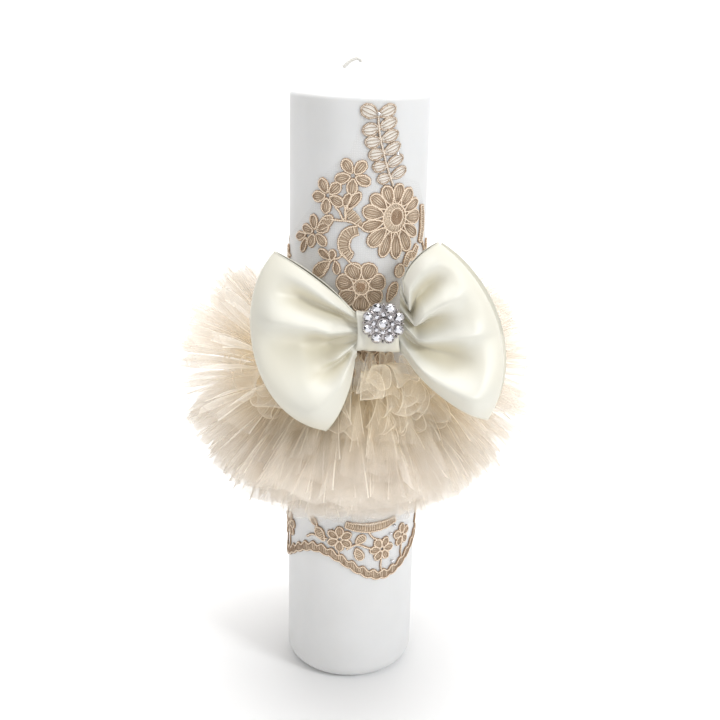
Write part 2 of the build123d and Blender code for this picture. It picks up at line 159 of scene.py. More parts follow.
def tube(points, radius, sides=6, closed=False, flat=1.0, up=None):
    """Vertices, faces and UVs (turn, length) of a tube along points. flat squeezes it along up."""
    p = np.asarray(points, float)
    n = len(p)
    radius = np.broadcast_to(np.asarray(radius, float), (n,))
    tangent = np.roll(p, -1, 0) - np.roll(p, 1, 0) if closed else np.gradient(p, axis=0)
    tangent /= np.linalg.norm(tangent, axis=1)[:, None] + 1e-12
    if up is None:
        first = np.array([0.0, 0.0, 1.0]) if abs(tangent[0][2]) < 0.9 else np.array([1.0, 0.0, 0.0])
        normals = [first - tangent[0] * first.dot(tangent[0])]
        for i in range(1, n):
            carried = normals[-1] - tangent[i] * normals[-1].dot(tangent[i])
            normals.append(carried / (np.linalg.norm(carried) + 1e-12))
        normal = np.array(normals)
    else:
        normal = up - tangent * np.sum(up * tangent, 1)[:, None]
    normal = normal / (np.linalg.norm(normal, axis=1)[:, None] + 1e-12)
    side = np.cross(tangent, normal)
    turn = full_turn(sides)
    ring = (np.cos(turn)[None, :, None] * side[:, None, :]
            + flat * np.sin(turn)[None, :, None] * normal[:, None, :]) * radius[:, None, None]
    verts = (p[:, None, :] + ring).reshape(-1, 3)
    along = along_line(p)
    uvs = np.stack([np.tile(turn / (2 * math.pi), n), np.repeat(along, sides)], 1)
    faces = grid_faces(n, sides, closed=True)
    if closed:
        last = (n - 1) * sides
        faces += [(last + c, last + (c + 1) % sides, (c + 1) % sides, c) for c in range(sides)]
    else:
        faces.append(tuple(range(sides - 1, -1, -1)))
        faces.append(tuple((n - 1) * sides + c for c in range(sides)))
    return verts, faces, uvs


def wrap(s, z, out):
    """Point on the candle's side from arc length, height and distance outside the net."""
    a = np.asarray(s, float) / motif_radius
    r = net_outside + np.asarray(out, float)
    return np.stack(np.broadcast_arrays(r * np.sin(a), -r * np.cos(a), np.asarray(z, float)), -1)


def outwards(s):
    a = np.asarray(s, float) / motif_radius
    return np.stack([np.sin(a), -np.cos(a), np.zeros_like(a)], -1)


# ------------------------------------------------------------------ materials
def material(name):
    m = bpy.data.materials.new(name)
    m.use_nodes = True
    tree = m.node_tree
    return m, tree, tree.nodes["Principled BSDF"]


def put(tree, kind, inputs=None, **settings):
    """New shader node with its settings, and each input set to a value or linked from a socket."""
    n = tree.nodes.new(kind)
    for key, value in settings.items():
        setattr(n, key, value)
    for key, value in (inputs or {}).items():
        if isinstance(value, bpy.types.NodeSocket):
            tree.links.new(value, n.inputs[key])
        else:
            n.inputs[key].default_value = value
    return n


def ramp(tree, factor, stops):
    """Colour ramp from (position, colour) stops."""
    n = tree.nodes.new("ShaderNodeValToRGB")
    n.color_ramp.elements[0].position = stops[0][0]
    n.color_ramp.elements[0].color = (*stops[0][1], 1)
    n.color_ramp.elements[1].position = stops[-1][0]
    n.color_ramp.elements[1].color = (*stops[-1][1], 1)
    for position, colour in stops[1:-1]:
        n.color_ramp.elements.new(position).color = (*colour, 1)
    tree.links.new(factor, n.inputs["Fac"])
    return n.outputs["Color"]


def noise(tree, scale, detail=3.0, coords=None):
    """Noise by place on the object, or by the coordinates given. Scale is per metre."""
    if coords is None:
        coords = put(tree, "ShaderNodeTexCoord").outputs["Object"]
    return put(tree, "ShaderNodeTexNoise", {"Vector": coords, "Scale": scale,
                                            "Detail": detail}).outputs["Fac"]


def uv_axes(tree):
    uv = put(tree, "ShaderNodeTexCoord").outputs["UV"]
    split = put(tree, "ShaderNodeSeparateXYZ", {"Vector": uv})
    return split.outputs["X"], split.outputs["Y"]


def calc(tree, operation, *values, **settings):
    """Result of a sum on numbers or sockets."""
    return put(tree, "ShaderNodeMath", dict(enumerate(values)), operation=operation, **settings).outputs[0]


def stripes(tree, coordinate, pitch):
    """Wave from 0 to 1 along a coordinate."""
    wave = calc(tree, "SINE", calc(tree, "MULTIPLY", coordinate, 2 * math.pi / pitch))
    return calc(tree, "MULTIPLY_ADD", wave, 0.5, 0.5)


def given(shader, values):
    for key, value in values.items():
        shader.inputs[key].default_value = value


def bump(tree, shader, height, distance, strength=1.0):
    n = put(tree, "ShaderNodeBump", {"Height": height, "Distance": distance * MM, "Strength": strength})
    tree.links.new(n.outputs["Normal"], shader.inputs["Normal"])


def wax_material():
    m, tree, shader = material("wax")
    cloud = noise(tree, 28.0, 4.0)
    tree.links.new(ramp(tree, cloud, [(0.3, (0.69, 0.69, 0.685)), (0.7, (0.73, 0.73, 0.73))]),
                   shader.inputs["Base Color"])
    given(shader, {"Subsurface Weight": 0.35, "Subsurface Radius": (1.0, 0.9, 0.8),
                   "Subsurface Scale": 0.005, "IOR": 1.44})
    rough = put(tree, "ShaderNodeMapRange", {"Value": noise(tree, 160.0), "To Min": 0.34, "To Max": 0.5})
    tree.links.new(rough.outputs["Result"], shader.inputs["Roughness"])
    bump(tree, shader, noise(tree, 60.0, 5.0), 0.25, 0.5)
    return m


def thread_material(name, gap, light, pitch, height=0.12):
    """Embroidery laid in parallel threads, which run along the second UV axis."""
    m, tree, shader = material(name)
    wobble = calc(tree, "MULTIPLY", noise(tree, 900.0, 2.0), 0.5 * pitch)
    wave = stripes(tree, calc(tree, "ADD", uv_axes(tree)[0], wobble), pitch)
    shade = calc(tree, "MULTIPLY", wave, noise(tree, 500.0))
    tree.links.new(ramp(tree, shade, [(0.05, gap), (0.45, light)]), shader.inputs["Base Color"])
    given(shader, {"Roughness": 0.62, "Sheen Weight": 0.25})
    bump(tree, shader, wave, height)
    return m


def cord_material(name, dark, light, pitch=1.0):
    """Twisted cord: UV x goes round it and UV y along it, in millimetres."""
    m, tree, shader = material(name)
    u, v = uv_axes(tree)
    wave = stripes(tree, calc(tree, "MULTIPLY_ADD", u, pitch, v), pitch)
    tree.links.new(ramp(tree, wave, [(0.0, dark), (0.6, light)]), shader.inputs["Base Color"])
    given(shader, {"Roughness": 0.55, "Sheen Weight": 0.2})
    bump(tree, shader, wave, 0.08)
    return m


def net_material(name, colour, hole, thread, cell, edge_on=0.6, root=None):
    """Sheer net: see-through cells between fine threads. hole and thread are their coverage, which grows
    where the net is seen edge-on. With root, the cloth is painted towards that colour at its gathered end, as
    painted warm shade among the layers."""
    m, tree, shader = material(name)
    uv = put(tree, "ShaderNodeTexCoord").outputs["UV"]
    cells = put(tree, "ShaderNodeTexVoronoi", {"Vector": uv, "Scale": 1.0 / cell, "Randomness": 0.5},
                voronoi_dimensions="2D", feature="DISTANCE_TO_EDGE")
    cover = put(tree, "ShaderNodeMapRange", {"Value": cells.outputs["Distance"], "From Min": 0.05,
                                             "From Max": 0.24, "To Min": thread, "To Max": hole})
    facing = put(tree, "ShaderNodeLayerWeight", {"Blend": 0.5}).outputs["Facing"]
    slanted = calc(tree, "POWER", facing, 2.6)
    added = calc(tree, "MULTIPLY_ADD", slanted, edge_on, cover.outputs["Result"], use_clamp=True)
    tone = noise(tree, 130.0, 3.0)
    shade = ramp(tree, tone, [(0.35, tuple(0.95 * c for c in colour)), (0.65, colour)])
    # Painted shade: the gathered end is painted towards the warmer root colour, for the light among the
    # layers.
    if root:
        far = put(tree, "ShaderNodeMapRange", {"Value": uv_axes(tree)[1], "From Min": 4.0,
                                               "From Max": 44.0})
        shade = put(tree, "ShaderNodeMixRGB", {"Fac": far.outputs["Result"], "Color1": (*root, 1),
                                               "Color2": shade}).outputs["Color"]
    diffuse = put(tree, "ShaderNodeBsdfDiffuse", {"Color": shade, "Roughness": 0.5})
    through = put(tree, "ShaderNodeBsdfTranslucent", {"Color": shade})
    cloth = put(tree, "ShaderNodeMixShader", {"Fac": 0.45, 1: diffuse.outputs[0], 2: through.outputs[0]})
    clear = put(tree, "ShaderNodeBsdfTransparent")
    mixed = put(tree, "ShaderNodeMixShader", {"Fac": added, 1: clear.outputs[0],
                                              2: cloth.outputs[0]})
    tree.links.new(mixed.outputs[0], tree.nodes["Material Output"].inputs["Surface"])
    tree.nodes.remove(shader)
    return m


def satin_material():
    """Ivory satin with painted shade: warmer in the folds and cooler on the ridges, standing in for light
    bounced between the folds. The mesh carries how high each place lies in them.
    """
    m, tree, shader = material("satin")
    u, v = uv_axes(tree)
    # Painted shade: fold height picks a warmer, yellower colour in the valleys and a cooler one on the
    # ridges.
    depth = put(tree, "ShaderNodeAttribute", attribute_name="fold").outputs["Fac"]
    tone = calc(tree, "MULTIPLY_ADD", noise(tree, 60.0, 2.0), 0.16, depth)
    tree.links.new(ramp(tree, tone, [(0.0, (0.74, 0.695, 0.56)), (0.4, (0.72, 0.69, 0.585)),
                                                (0.75, (0.70, 0.685, 0.61))]), shader.inputs["Base Color"])
    given(shader, {"Roughness": 0.36, "Specular IOR Level": 0.42, "Sheen Weight": 0.3,
                   "Sheen Roughness": 0.35, "Anisotropic": 0.5})
    warp = stripes(tree, calc(tree, "MULTIPLY_ADD", u, 0.5, v), 0.35)
    bump(tree, shader, warp, 0.012, 0.6)
    return m


def metal_material(name, colour, roughness, grain=220.0):
    m, tree, shader = material(name)
    worn = noise(tree, grain, 4.0)
    tree.links.new(ramp(tree, worn, [(0.35, tuple(0.86 * c for c in colour)), (0.6, colour)]),
                   shader.inputs["Base Color"])
    shader.inputs["Metallic"].default_value = 1.0
    rough = put(tree, "ShaderNodeMapRange", {"Value": worn, "To Min": 0.7 * roughness,
                                             "To Max": 1.4 * roughness})
    tree.links.new(rough.outputs["Result"], shader.inputs["Roughness"])
    bump(tree, shader, noise(tree, 4 * grain, 2.0), 0.01, 0.4)
    return m


def stone_material():
    """Foil-backed cut stone. Each facet's colour is a painted reflection, dark or bright, of another part of
    the room.
    """
    m, tree, shader = material("rhinestone")
    painted_light = put(tree, "ShaderNodeAttribute", attribute_name="facet").outputs["Fac"]
    tree.links.new(ramp(tree, painted_light, [(0.0, (0.02, 0.02, 0.025)), (0.25, (0.10, 0.095, 0.10)),
                                     (0.45, (0.75, 0.75, 0.8)), (1.0, (0.97, 0.97, 1.0))]),
                   shader.inputs["Base Color"])
    given(shader, {"Metallic": 0.75, "Roughness": 0.05, "Coat Weight": 1.0, "Coat Roughness": 0.02})
    return m


def wick_material():
    m, tree, shader = material("wick_cotton")
    fibre = noise(tree, 2500.0, 3.0)
    tree.links.new(ramp(tree, fibre, [(0.3, (0.62, 0.60, 0.55)), (0.7, (0.88, 0.86, 0.82))]),
                   shader.inputs["Base Color"])
    shader.inputs["Roughness"].default_value = 0.8
    bump(tree, shader, fibre, 0.06)
    return m


def glue_material():
    m, tree, shader = material("glue")
    tree.links.new(ramp(tree, noise(tree, 300.0), [(0.3, (0.72, 0.68, 0.58)), (0.7, (0.82, 0.8, 0.72))]),
                   shader.inputs["Base Color"])
    given(shader, {"Roughness": 0.3, "Subsurface Weight": 0.2, "Subsurface Scale": 0.002})
    bump(tree, shader, noise(tree, 500.0), 0.1)
    return m


WAX = wax_material()
LACE_FILL = thread_material("lace_fill", (0.46, 0.34, 0.23), (0.84, 0.70, 0.54), 0.95, 0.2)
LACE_CORD = cord_material("lace_cord", (0.68, 0.52, 0.37), (0.92, 0.78, 0.62))
LACE_EDGE = cord_material("lace_edge", (0.25, 0.15, 0.085), (0.45, 0.30, 0.185))
SPRAY_FILL = thread_material("spray_fill", (0.70, 0.64, 0.56), (0.88, 0.84, 0.78), 0.9, 0.1)
SPRAY_CORD = cord_material("spray_cord", (0.66, 0.55, 0.44), (0.86, 0.77, 0.66))
SPRAY_EDGE = cord_material("spray_edge", (0.30, 0.21, 0.14), (0.46, 0.34, 0.24))
NET = net_material("lace_net", (0.72, 0.66, 0.58), 0.0, 0.07, 1.1, 0.02)
# The last colour of each tulle is painted warm shade at the gathered end.
TULLE = net_material("tulle", (0.95, 0.897, 0.825), 0.105, 0.34, 0.7, 0.75, (1.0, 0.905, 0.72))
# The folded-edge tulle is the same net in a lighter colour, a painted highlight; its denser cover is the
# doubled net.
TULLE_FOLD_HIGHLIGHT = net_material("tulle_fold_highlight", (0.99, 0.95, 0.885), 0.4, 0.78, 0.5, 0.8, (1.0, 0.93, 0.79))
SATIN = satin_material()
SILVER = metal_material("silver", (0.50, 0.47, 0.47), 0.22)
TIN = metal_material("tin", (0.62, 0.62, 0.63), 0.35)
STEEL = metal_material("pin_steel", (0.72, 0.72, 0.74), 0.18)
STONE = stone_material()
COTTON = wick_material()
GLUE = glue_material()
THREAD = cord_material("thread", (0.55, 0.45, 0.34), (0.86, 0.76, 0.62), 0.6)


# ------------------------------------------------------------------ lace: fills, cords and threads
CORD = 0.42
CORD_EDGE = 0.27
THREAD_RADIUS = 0.17
FILL_OUT = 0.25
FILL_DOME = 0.45


def width_profile(t, full):
    """Half-width of a petal along its length, as a part of its greatest."""
    return np.clip(np.sin(math.pi * np.clip(t, 0, 1) ** full), 0, 1) ** 0.5


def petal_sides(base, tip, width, full=1.45, count=13):
    """The two sides of a petal from base to tip, as lines of (s, z)."""
    base, tip = np.array(base, float), np.array(tip, float)
    along = tip - base
    length = np.linalg.norm(along)
    across = np.array([-along[1], along[0]]) / length
    t = np.linspace(0, 1, count)
    t = 0.5 - 0.5 * np.cos(math.pi * t)
    middle = base + along * t[:, None]
    half = 0.5 * width * width_profile(t, full)
    return middle + across * half[:, None], middle - across * half[:, None]


def band_sides(points, width, count=24, taper=0.0):
    """The two sides of a band of a width round a line of (s, z)."""
    line = smooth_line(points, count)
    along = np.gradient(line, axis=0)
    along /= np.linalg.norm(along, axis=1)[:, None]
    across = np.stack([-along[:, 1], along[:, 0]], 1)
    t = np.linspace(0, 1, count)
    half = 0.5 * width * (1 - taper + taper * np.sin(math.pi * np.clip(t, 0.04, 0.96)) ** 0.6)
    return line + across * half[:, None], line - across * half[:, None]


def lace_fill(build, left, right, dome=FILL_DOME, across=False, columns=6):
    """Slightly raised thread work between two sides. Its threads run along it, or across it."""
    rows = len(left)
    c = np.linspace(0, 1, columns)
    flat = left[:, None, :] * (1 - c)[None, :, None] + right[:, None, :] * c[None, :, None]
    width = np.linalg.norm(right - left, axis=1)
    swell = (1 - (2 * c - 1) ** 2)[None, :] * np.clip(width / (width.max() + 1e-9), 0, 1)[:, None]
    out = FILL_OUT + dome * swell
    length = along_line((left + right) / 2)
    u = np.broadcast_to(c[None, :] * width.max(), (rows, columns))
    v = np.broadcast_to(length[:, None], (rows, columns))
    uv = np.stack([v, u] if across else [u, v], -1)
    verts = wrap(flat[..., 0], flat[..., 1], out)
    build.grid(verts, uv)


def raised_tube(build, s, z, radius, out, mat, closed, sides=6):
    build.add(*tube(wrap(s, z, out), radius, sides, closed, flat=0.8, up=outwards(s)), mat)


def lace_cord(build, line, radius=CORD, out=0.5, closed=False, step=0.55):
    """Light cord laid on darker stitches along a line of (s, z), a little wavy as hand-guided work is."""
    line = np.asarray(line, float)
    length = np.linalg.norm(np.diff(line, axis=0), axis=1).sum()
    points = smooth_line(line, max(6, int(length / step)), closed)
    points = points + RNG.normal(0, 0.09, points.shape)
    raised_tube(build, points[:, 0], points[:, 1], radius, out + RNG.normal(0, 0.04, len(points)), 1,
                closed)
    under = points + RNG.normal(0, 0.06, points.shape)
    raised_tube(build, under[:, 0], under[:, 1], radius + CORD_EDGE, out - radius * 0.75, 2, closed)


def lace_hatch(build, left, right, pitch, mat=2, inset=0.12, slant=0.0, radius=THREAD_RADIUS):
    """Single threads from one side to the other."""
    along = along_line((left + right) / 2)
    count = int(along[-1] / pitch)
    for i in range(count):
        at = (i + 0.5) * along[-1] / count + RNG.normal(0, 0.08 * pitch)
        a = np.array([np.interp(at, along, left[:, k]) for k in (0, 1)])
        b = np.array([np.interp(at + slant, along, right[:, k]) for k in (0, 1)])
        if np.linalg.norm(b - a) < 1.2:
            continue
        t = np.linspace(inset, 1 - inset, 5)[:, None]
        line = a * (1 - t) + b * t
        rise = FILL_OUT + 0.12 + FILL_DOME * (1 - (2 * t[:, 0] - 1) ** 2)
        build.add(*tube(wrap(line[:, 0], line[:, 1], rise), radius, 4), mat)


def lace_rays(build, left, right, count, mat=2, start=0.25, end=0.93, radius=THREAD_RADIUS):
    """Threads that run along a petal, spreading from its base."""
    for i in range(count):
        c = (i + 1) / (count + 1)
        line = left * (1 - c) + right * c
        n = len(line)
        part = line[int(start * n):max(int(start * n) + 3, int((end + RNG.uniform(-0.08, 0.04)) * n))]
        rise = FILL_OUT + 0.1 + FILL_DOME * (1 - (2 * c - 1) ** 2)
        build.add(*tube(wrap(part[:, 0], part[:, 1], rise), radius, 4), mat)


def lace_petal(build, base, tip, width, full=1.45, rays=4, hatch=0.0, radius=CORD):
    """Petal or leaf: its fill, its threads and the cord round it."""
    left, right = petal_sides(base, tip, width, full)
    lace_fill(build, left, right, across=hatch > 0)
    if hatch:
        lace_hatch(build, left, right, hatch)
    elif rays:
        lace_rays(build, left, right, rays)
    lace_cord(build, np.vstack([left, right[::-1][1:]]), radius)


def lace_ring(build, centre, half_width, half_height, radius=CORD, fill=True):
    turn = full_turn(20)
    line = np.stack([centre[0] + half_width * np.sin(turn), centre[1] + half_height * np.cos(turn)], 1)
    if fill:
        n = 9
        t = np.linspace(0, math.pi, n)
        left = np.stack([centre[0] - half_width * np.sin(t), centre[1] + half_height * np.cos(t)], 1)
        right = np.stack([centre[0] + half_width * np.sin(t), centre[1] + half_height * np.cos(t)], 1)
        lace_fill(build, left, right)
    lace_cord(build, line, radius, 0.55, closed=True)


def hatched_band(build, line, width, taper, pitch):
    """Band of close threads with a cord all round it."""
    left, right = band_sides(line, width, taper=taper)
    lace_fill(build, left, right, across=True)
    lace_hatch(build, left, right, pitch)
    lace_cord(build, np.vstack([left, right[::-1]]), closed=True)


def lace_piece(build, name):
    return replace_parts(build.piece(name, LACE), "lace_" + name)


def dark_heart(build, centre, half_width, half_height):
    """Close spiral of darker thread inside a flower's ring."""
    turn = np.linspace(0, 10 * math.pi, 90)
    grow = np.linspace(0.12, 1, len(turn))
    s = centre[0] + half_width * grow * np.sin(turn)
    raised_tube(build, s, centre[1] + half_height * grow * np.cos(turn), 0.26, 0.75, 2, False, 5)


def lace_flower(build, centre, tips, width, hub=0.0, start=0.16, rays=3, full=1.3, radius=CORD):
    """Petals round a hub, to tips given as (s, z)."""
    centre = np.array(centre, float)
    for tip in tips:
        place = np.array(tip, float)
        reach = np.linalg.norm(place - centre)
        base = centre + (place - centre) * max(start, 0.96 * hub / reach)
        lace_petal(build, base, place, width, full, rays, radius=radius)
    if hub:
        lace_ring(build, centre, hub, hub, radius)


def round_tips(centre, petals, reach, first):
    """Tips at even angles round a centre."""
    return [(centre[0] + reach * math.cos(first + 2 * math.pi * i / petals),
             centre[1] + reach * math.sin(first + 2 * math.pi * i / petals)) for i in range(petals)]


def arc(angle):
    """Arc length of an angle in degrees."""
    return math.radians(angle) * motif_radius


# ------------------------------------------------------------------ lace: the sleeve and its motifs
LOW_MEAN, LOW_WAVE, LOW_ANGLE = 69.3, 7.5, 30.0
BORDER_WIDTH = 6.0
REPEATS = 3
SCALLOPS = 39
NET_TOP = [(-180, 270), (-150, 264), (-120, 250), (-90, 238), (-60, 250), (-40, 262), (-26, 280), (-6, 290),
           (4, 314), (24, 314), (34, 296), (40, 277), (58, 274), (72, 258), (90, 256), (120, 248),
           (150, 262),
           (180, 270)]
LACE = [LACE_FILL, LACE_CORD, LACE_EDGE]
# Each flower's place, its count of petals, their reach and first angle, and the foot of its stem
BORDER_FLOWERS = [(-6.0, 87.0, 6, 6.9, 90, 78.0), (17.5, 80.0, 6, 6.8, 62, 67.5),
                  (31.5, 84.5, 5, 6.3, 20, 71.5)]


def lace_low(angle):
    """Height of the scalloped lower edge, with a smaller wave within each scallop."""
    wave = LOW_WAVE * np.cos(np.radians(REPEATS * (angle - LOW_ANGLE)))
    return LOW_MEAN - wave


def net_sleeve():
    """Sheer net from the border to the motifs at the top."""
    build = Build()
    angles = np.arange(-180, 180, 2.5)
    tops = np.interp(angles, [a for a, z in NET_TOP], [z for a, z in NET_TOP])
    lows = lace_low(angles)
    rows = 40
    t = np.linspace(0, 1, rows)[:, None]
    z = lows[None, :] * (1 - t) + tops[None, :] * t
    s = np.broadcast_to(arc(1) * angles[None, :], z.shape)
    ripple = 0.05 * np.sin(s / 3.1 + z / 9.0)
    verts = wrap(s, z, -0.12 + ripple)
    faces = grid_faces(rows, len(angles), closed=True)
    uv = np.stack([s, z], -1)
    build.add(verts.reshape(-1, 3), faces, uv.reshape(-1, 2))
    piece = build.piece("lace_net", [NET])
    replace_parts(piece, "lace_net_sleeve")
    return piece


def border_band():
    """Scalloped border: cords on both edges with threads between them."""
    build = Build()
    angles = np.arange(-180, 180, 1.0)
    s = arc(1) * angles
    low = lace_low(angles)
    scallop = np.abs(np.sin(math.pi * s / (arc(360) / SCALLOPS)))
    lower = np.stack([s, low + 1.3 - 1.1 * scallop ** 0.7], 1)
    upper = np.stack([s, low + BORDER_WIDTH - 1.2 + 0.9 * np.sin(2 * math.pi * s / (arc(360) / SCALLOPS))],
                     1)
    once = [arc(360), 0]
    lower_ring, upper_ring = np.vstack([lower, lower[:1] + once]), np.vstack([upper, upper[:1] + once])
    lace_fill(build, lower_ring, upper_ring, across=True, dome=0.3)
    lace_hatch(build, lower_ring, upper_ring, 1.2, slant=0.5)
    for edge in (lower, upper):
        raised_tube(build, edge[:, 0], edge[:, 1], CORD, 0.5, 1, True)
        raised_tube(build, edge[:, 0], edge[:, 1], CORD + CORD_EDGE, 0.2, 2, True)
    piece = build.piece("border_band", LACE)
    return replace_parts(piece, "lace_border_band")


def in_repeats(draw):
    """Draws lace motifs once for each repeat of the border."""
    build = Build()
    for i in range(REPEATS):
        draw(build, arc(360 / REPEATS) * i)
    return build


def shifted(points, ds):
    return [(p[0] + ds, *p[1:]) for p in points]


def crescents():
    def draw(build, ds):
        line = [(11.5 + 14.0 * t + ds, 93.5 + 2.0 * t * t) for t in (-1, -0.5, 0, 0.5, 1)]
        hatched_band(build, line, 4.6, 0.45, 1.25)
    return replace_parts(in_repeats(draw).piece("crescents", LACE), "lace_crescent_bands")


def border_flowers():
    def draw(build, ds):
        for s, z, petals, reach, first, foot in BORDER_FLOWERS:
            top = z - 0.85 * reach
            lace_cord(build, [(s + ds, top), (s + ds - 0.5, (top + foot) / 2), (s + ds, foot)], 0.36)
            lace_flower(build, (s + ds, z), round_tips((s + ds, z), petals, reach, math.radians(first)),
                        4.0)
    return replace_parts(in_repeats(draw).piece("border_flowers", LACE), "lace_border_flowers")


def border_leaves():
    def draw(build, ds):
        lace_petal(build, (-14.4 + ds, 84.6), (-19.4 + ds, 91.4), 5.0, hatch=1.1)
        lace_petal(build, (-19.2 + ds, 92.2), (-22.6 + ds, 96.2), 3.0, rays=2)
        lace_petal(build, (3.0 + ds, 84.6), (7.4 + ds, 89.0), 4.4, hatch=1.1)
        lace_petal(build, (3.0 + ds, 81.8), (6.0 + ds, 75.0), 4.4, hatch=1.1)
        lace_cord(build, shifted([(-2.0, 81.2), (1.0, 83.2), (4.0, 84.0), (9.0, 82.0), (12.0, 80.4)], ds))
        lace_cord(build, shifted([(-26.0, 84.0), (-22.0, 86.6), (-17.0, 86.0), (-12.6, 86.4)], ds))
        lace_cord(build, shifted([(9.6, 91.2), (12.0, 87.6), (14.6, 86.2)], ds), 0.4)
    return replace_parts(in_repeats(draw).piece("border_leaves", LACE), "lace_border_leaves")


def large_flower():
    """Flower with a double oval ring at its heart and petals of different widths."""
    build = Build()
    centre = np.array([19.0, 258.0])
    petals, reach_across, reach_up, reach_down = 13, 17.0, 16.5, 20.0
    for i in range(petals):
        turn = 2 * math.pi * (i + 0.3) / petals
        reach_z = reach_up if math.cos(turn) > 0 else reach_down
        tip = centre + np.array([reach_across * math.sin(turn), reach_z * math.cos(turn)])
        base = centre + np.array([6.3 * math.sin(turn), 7.0 * math.cos(turn)]) * 0.97
        lace_petal(build, base, tip, 6.1 + 0.9 * math.sin(2.6 * i), 1.5, rays=4)
    heart = (20.0, 258.5)
    lace_ring(build, centre, 6.3, 7.0)
    lace_ring(build, heart, 3.6, 4.3, fill=False)
    dark_heart(build, heart, 3.2, 3.9)
    for i in range(22):
        a = 2 * math.pi * i / 22
        line = [(heart[0] + 3.6 * math.sin(a), heart[1] + 4.3 * math.cos(a)),
                (centre[0] + 6.0 * math.sin(a), centre[1] + 6.7 * math.cos(a))]
        build.add(*tube(wrap([p[0] for p in line], [p[1] for p in line], 0.75), THREAD_RADIUS, 4), 1)
    return lace_piece(build, "large_flower")


def round_flower():
    build = Build()
    centre = (2.5, 224.5)
    lace_flower(build, centre, round_tips(centre, 7, 12.4, math.radians(65)), 8.2, hub=3.9, rays=6,
                full=1.45)
    lace_ring(build, centre, 2.3, 2.3, 0.3, fill=False)
    dark_heart(build, centre, 2.2, 2.2)
    return lace_piece(build, "round_flower")


def small_flowers():
    build = Build()
    for centre, reach, first, width in (((-2.5, 278.5), 8.8, 50, 4.8), ((-15.0, 268.5), 8.6, 45, 4.8),
                                        ((-22.0, 250.0), 8.4, 100, 4.4)):
        lace_flower(build, centre, round_tips(centre, 5, reach, math.radians(first)), width, rays=3)
    lace_petal(build, (-20.5, 251.5), (-12.5, 258.5), 4.8, hatch=1.1)
    lace_petal(build, (-28.0, 248.0), (-36.0, 245.5), 3.6)
    lace_petal(build, (-27.5, 246.5), (-31.5, 239.0), 3.4)
    return lace_piece(build, "small_flowers")


def leaf_spray():
    """Pale sprig that climbs to the peak, with its leaves in pairs."""
    build = Build()
    pairs = 6

    def stem(t):
        return 8.7 + 9.0 * t ** 1.7, 308.5 - 35.0 * t

    for i in range(pairs):
        s, z = stem(0.05 + 0.165 * i)
        rise = 3.5 if i == 0 else -1.2
        lace_petal(build, (s, z), (s - 8.0 + 0.3 * i, z + rise), 6.0 - 0.25 * i, 1.2, rays=2, radius=0.27)
        lace_petal(build, (s + 0.4, z), (s + 8.8, z + 3.8), 5.4 - 0.15 * i, 1.2, rays=2, radius=0.27)
    lace_cord(build, [stem(t) for t in np.linspace(0, 1, 6)], 0.42, 0.55)
    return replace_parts(build.piece("leaf_spray", [SPRAY_FILL, SPRAY_CORD, SPRAY_EDGE]), "lace_leaf_spray")


def scroll_leaf():
    """Hatched scroll with its stems, buds and leaves."""
    build = Build()
    turns = np.radians(np.arange(90, 241, 30))
    left, right = band_sides([(0.5 + 7.0 * math.cos(a), 245.5 + 7.0 * math.sin(a)) for a in turns], 5.4,
                             taper=0.35)
    lace_fill(build, left, right, across=True)
    lace_hatch(build, left, right, 1.5)
    lace_cord(build, left)
    lace_cord(build, right)
    lace_cord(build, np.vstack([left[-1:], right[-1:] + [0.6, -0.3], right[-1:]]))
    for line in (
        [(-17.5, 257.0), (-10.0, 257.0), (-3.0, 256.5), (3.5, 253.0)],
        [(-7.0, 257.0), (-8.5, 260.5), (-11.0, 263.5)],
        [(-5.5, 257.5), (-6.0, 262.0), (-3.0, 267.5)], [(-7.0, 257.0), (-5.5, 259.5), (-6.5, 264.5)],
        [(-7.0, 241.5), (-8.5, 238.5), (-12.5, 237.0), (-17.0, 230.0)],
        [(-6.5, 240.5), (-3.0, 236.5), (2.0, 233.5)],
    ):
        lace_cord(build, line)
    lace_petal(build, (-5.0, 262.5), (1.0, 270.5), 4.2)
    lace_petal(build, (-3.5, 270.5), (-6.5, 264.5), 3.6)
    fan_left, fan_right = band_sides([(-5.0, 262.5), (-2.5, 259.5), (1.5, 255.0)], 5.0, taper=0.6)
    lace_fill(build, fan_left, fan_right, across=True)
    lace_hatch(build, fan_left, fan_right, 1.2)
    lace_petal(build, (-13.0, 237.5), (-19.5, 241.5), 3.6)
    lace_petal(build, (-12.5, 237.0), (-12.0, 242.0), 3.4)
    lace_petal(build, (-10.5, 237.0), (-9.5, 230.5), 3.4)
    lace_petal(build, (-13.5, 236.5), (-22.5, 228.0), 6.0, hatch=1.2)
    return lace_piece(build, "scroll_leaf")


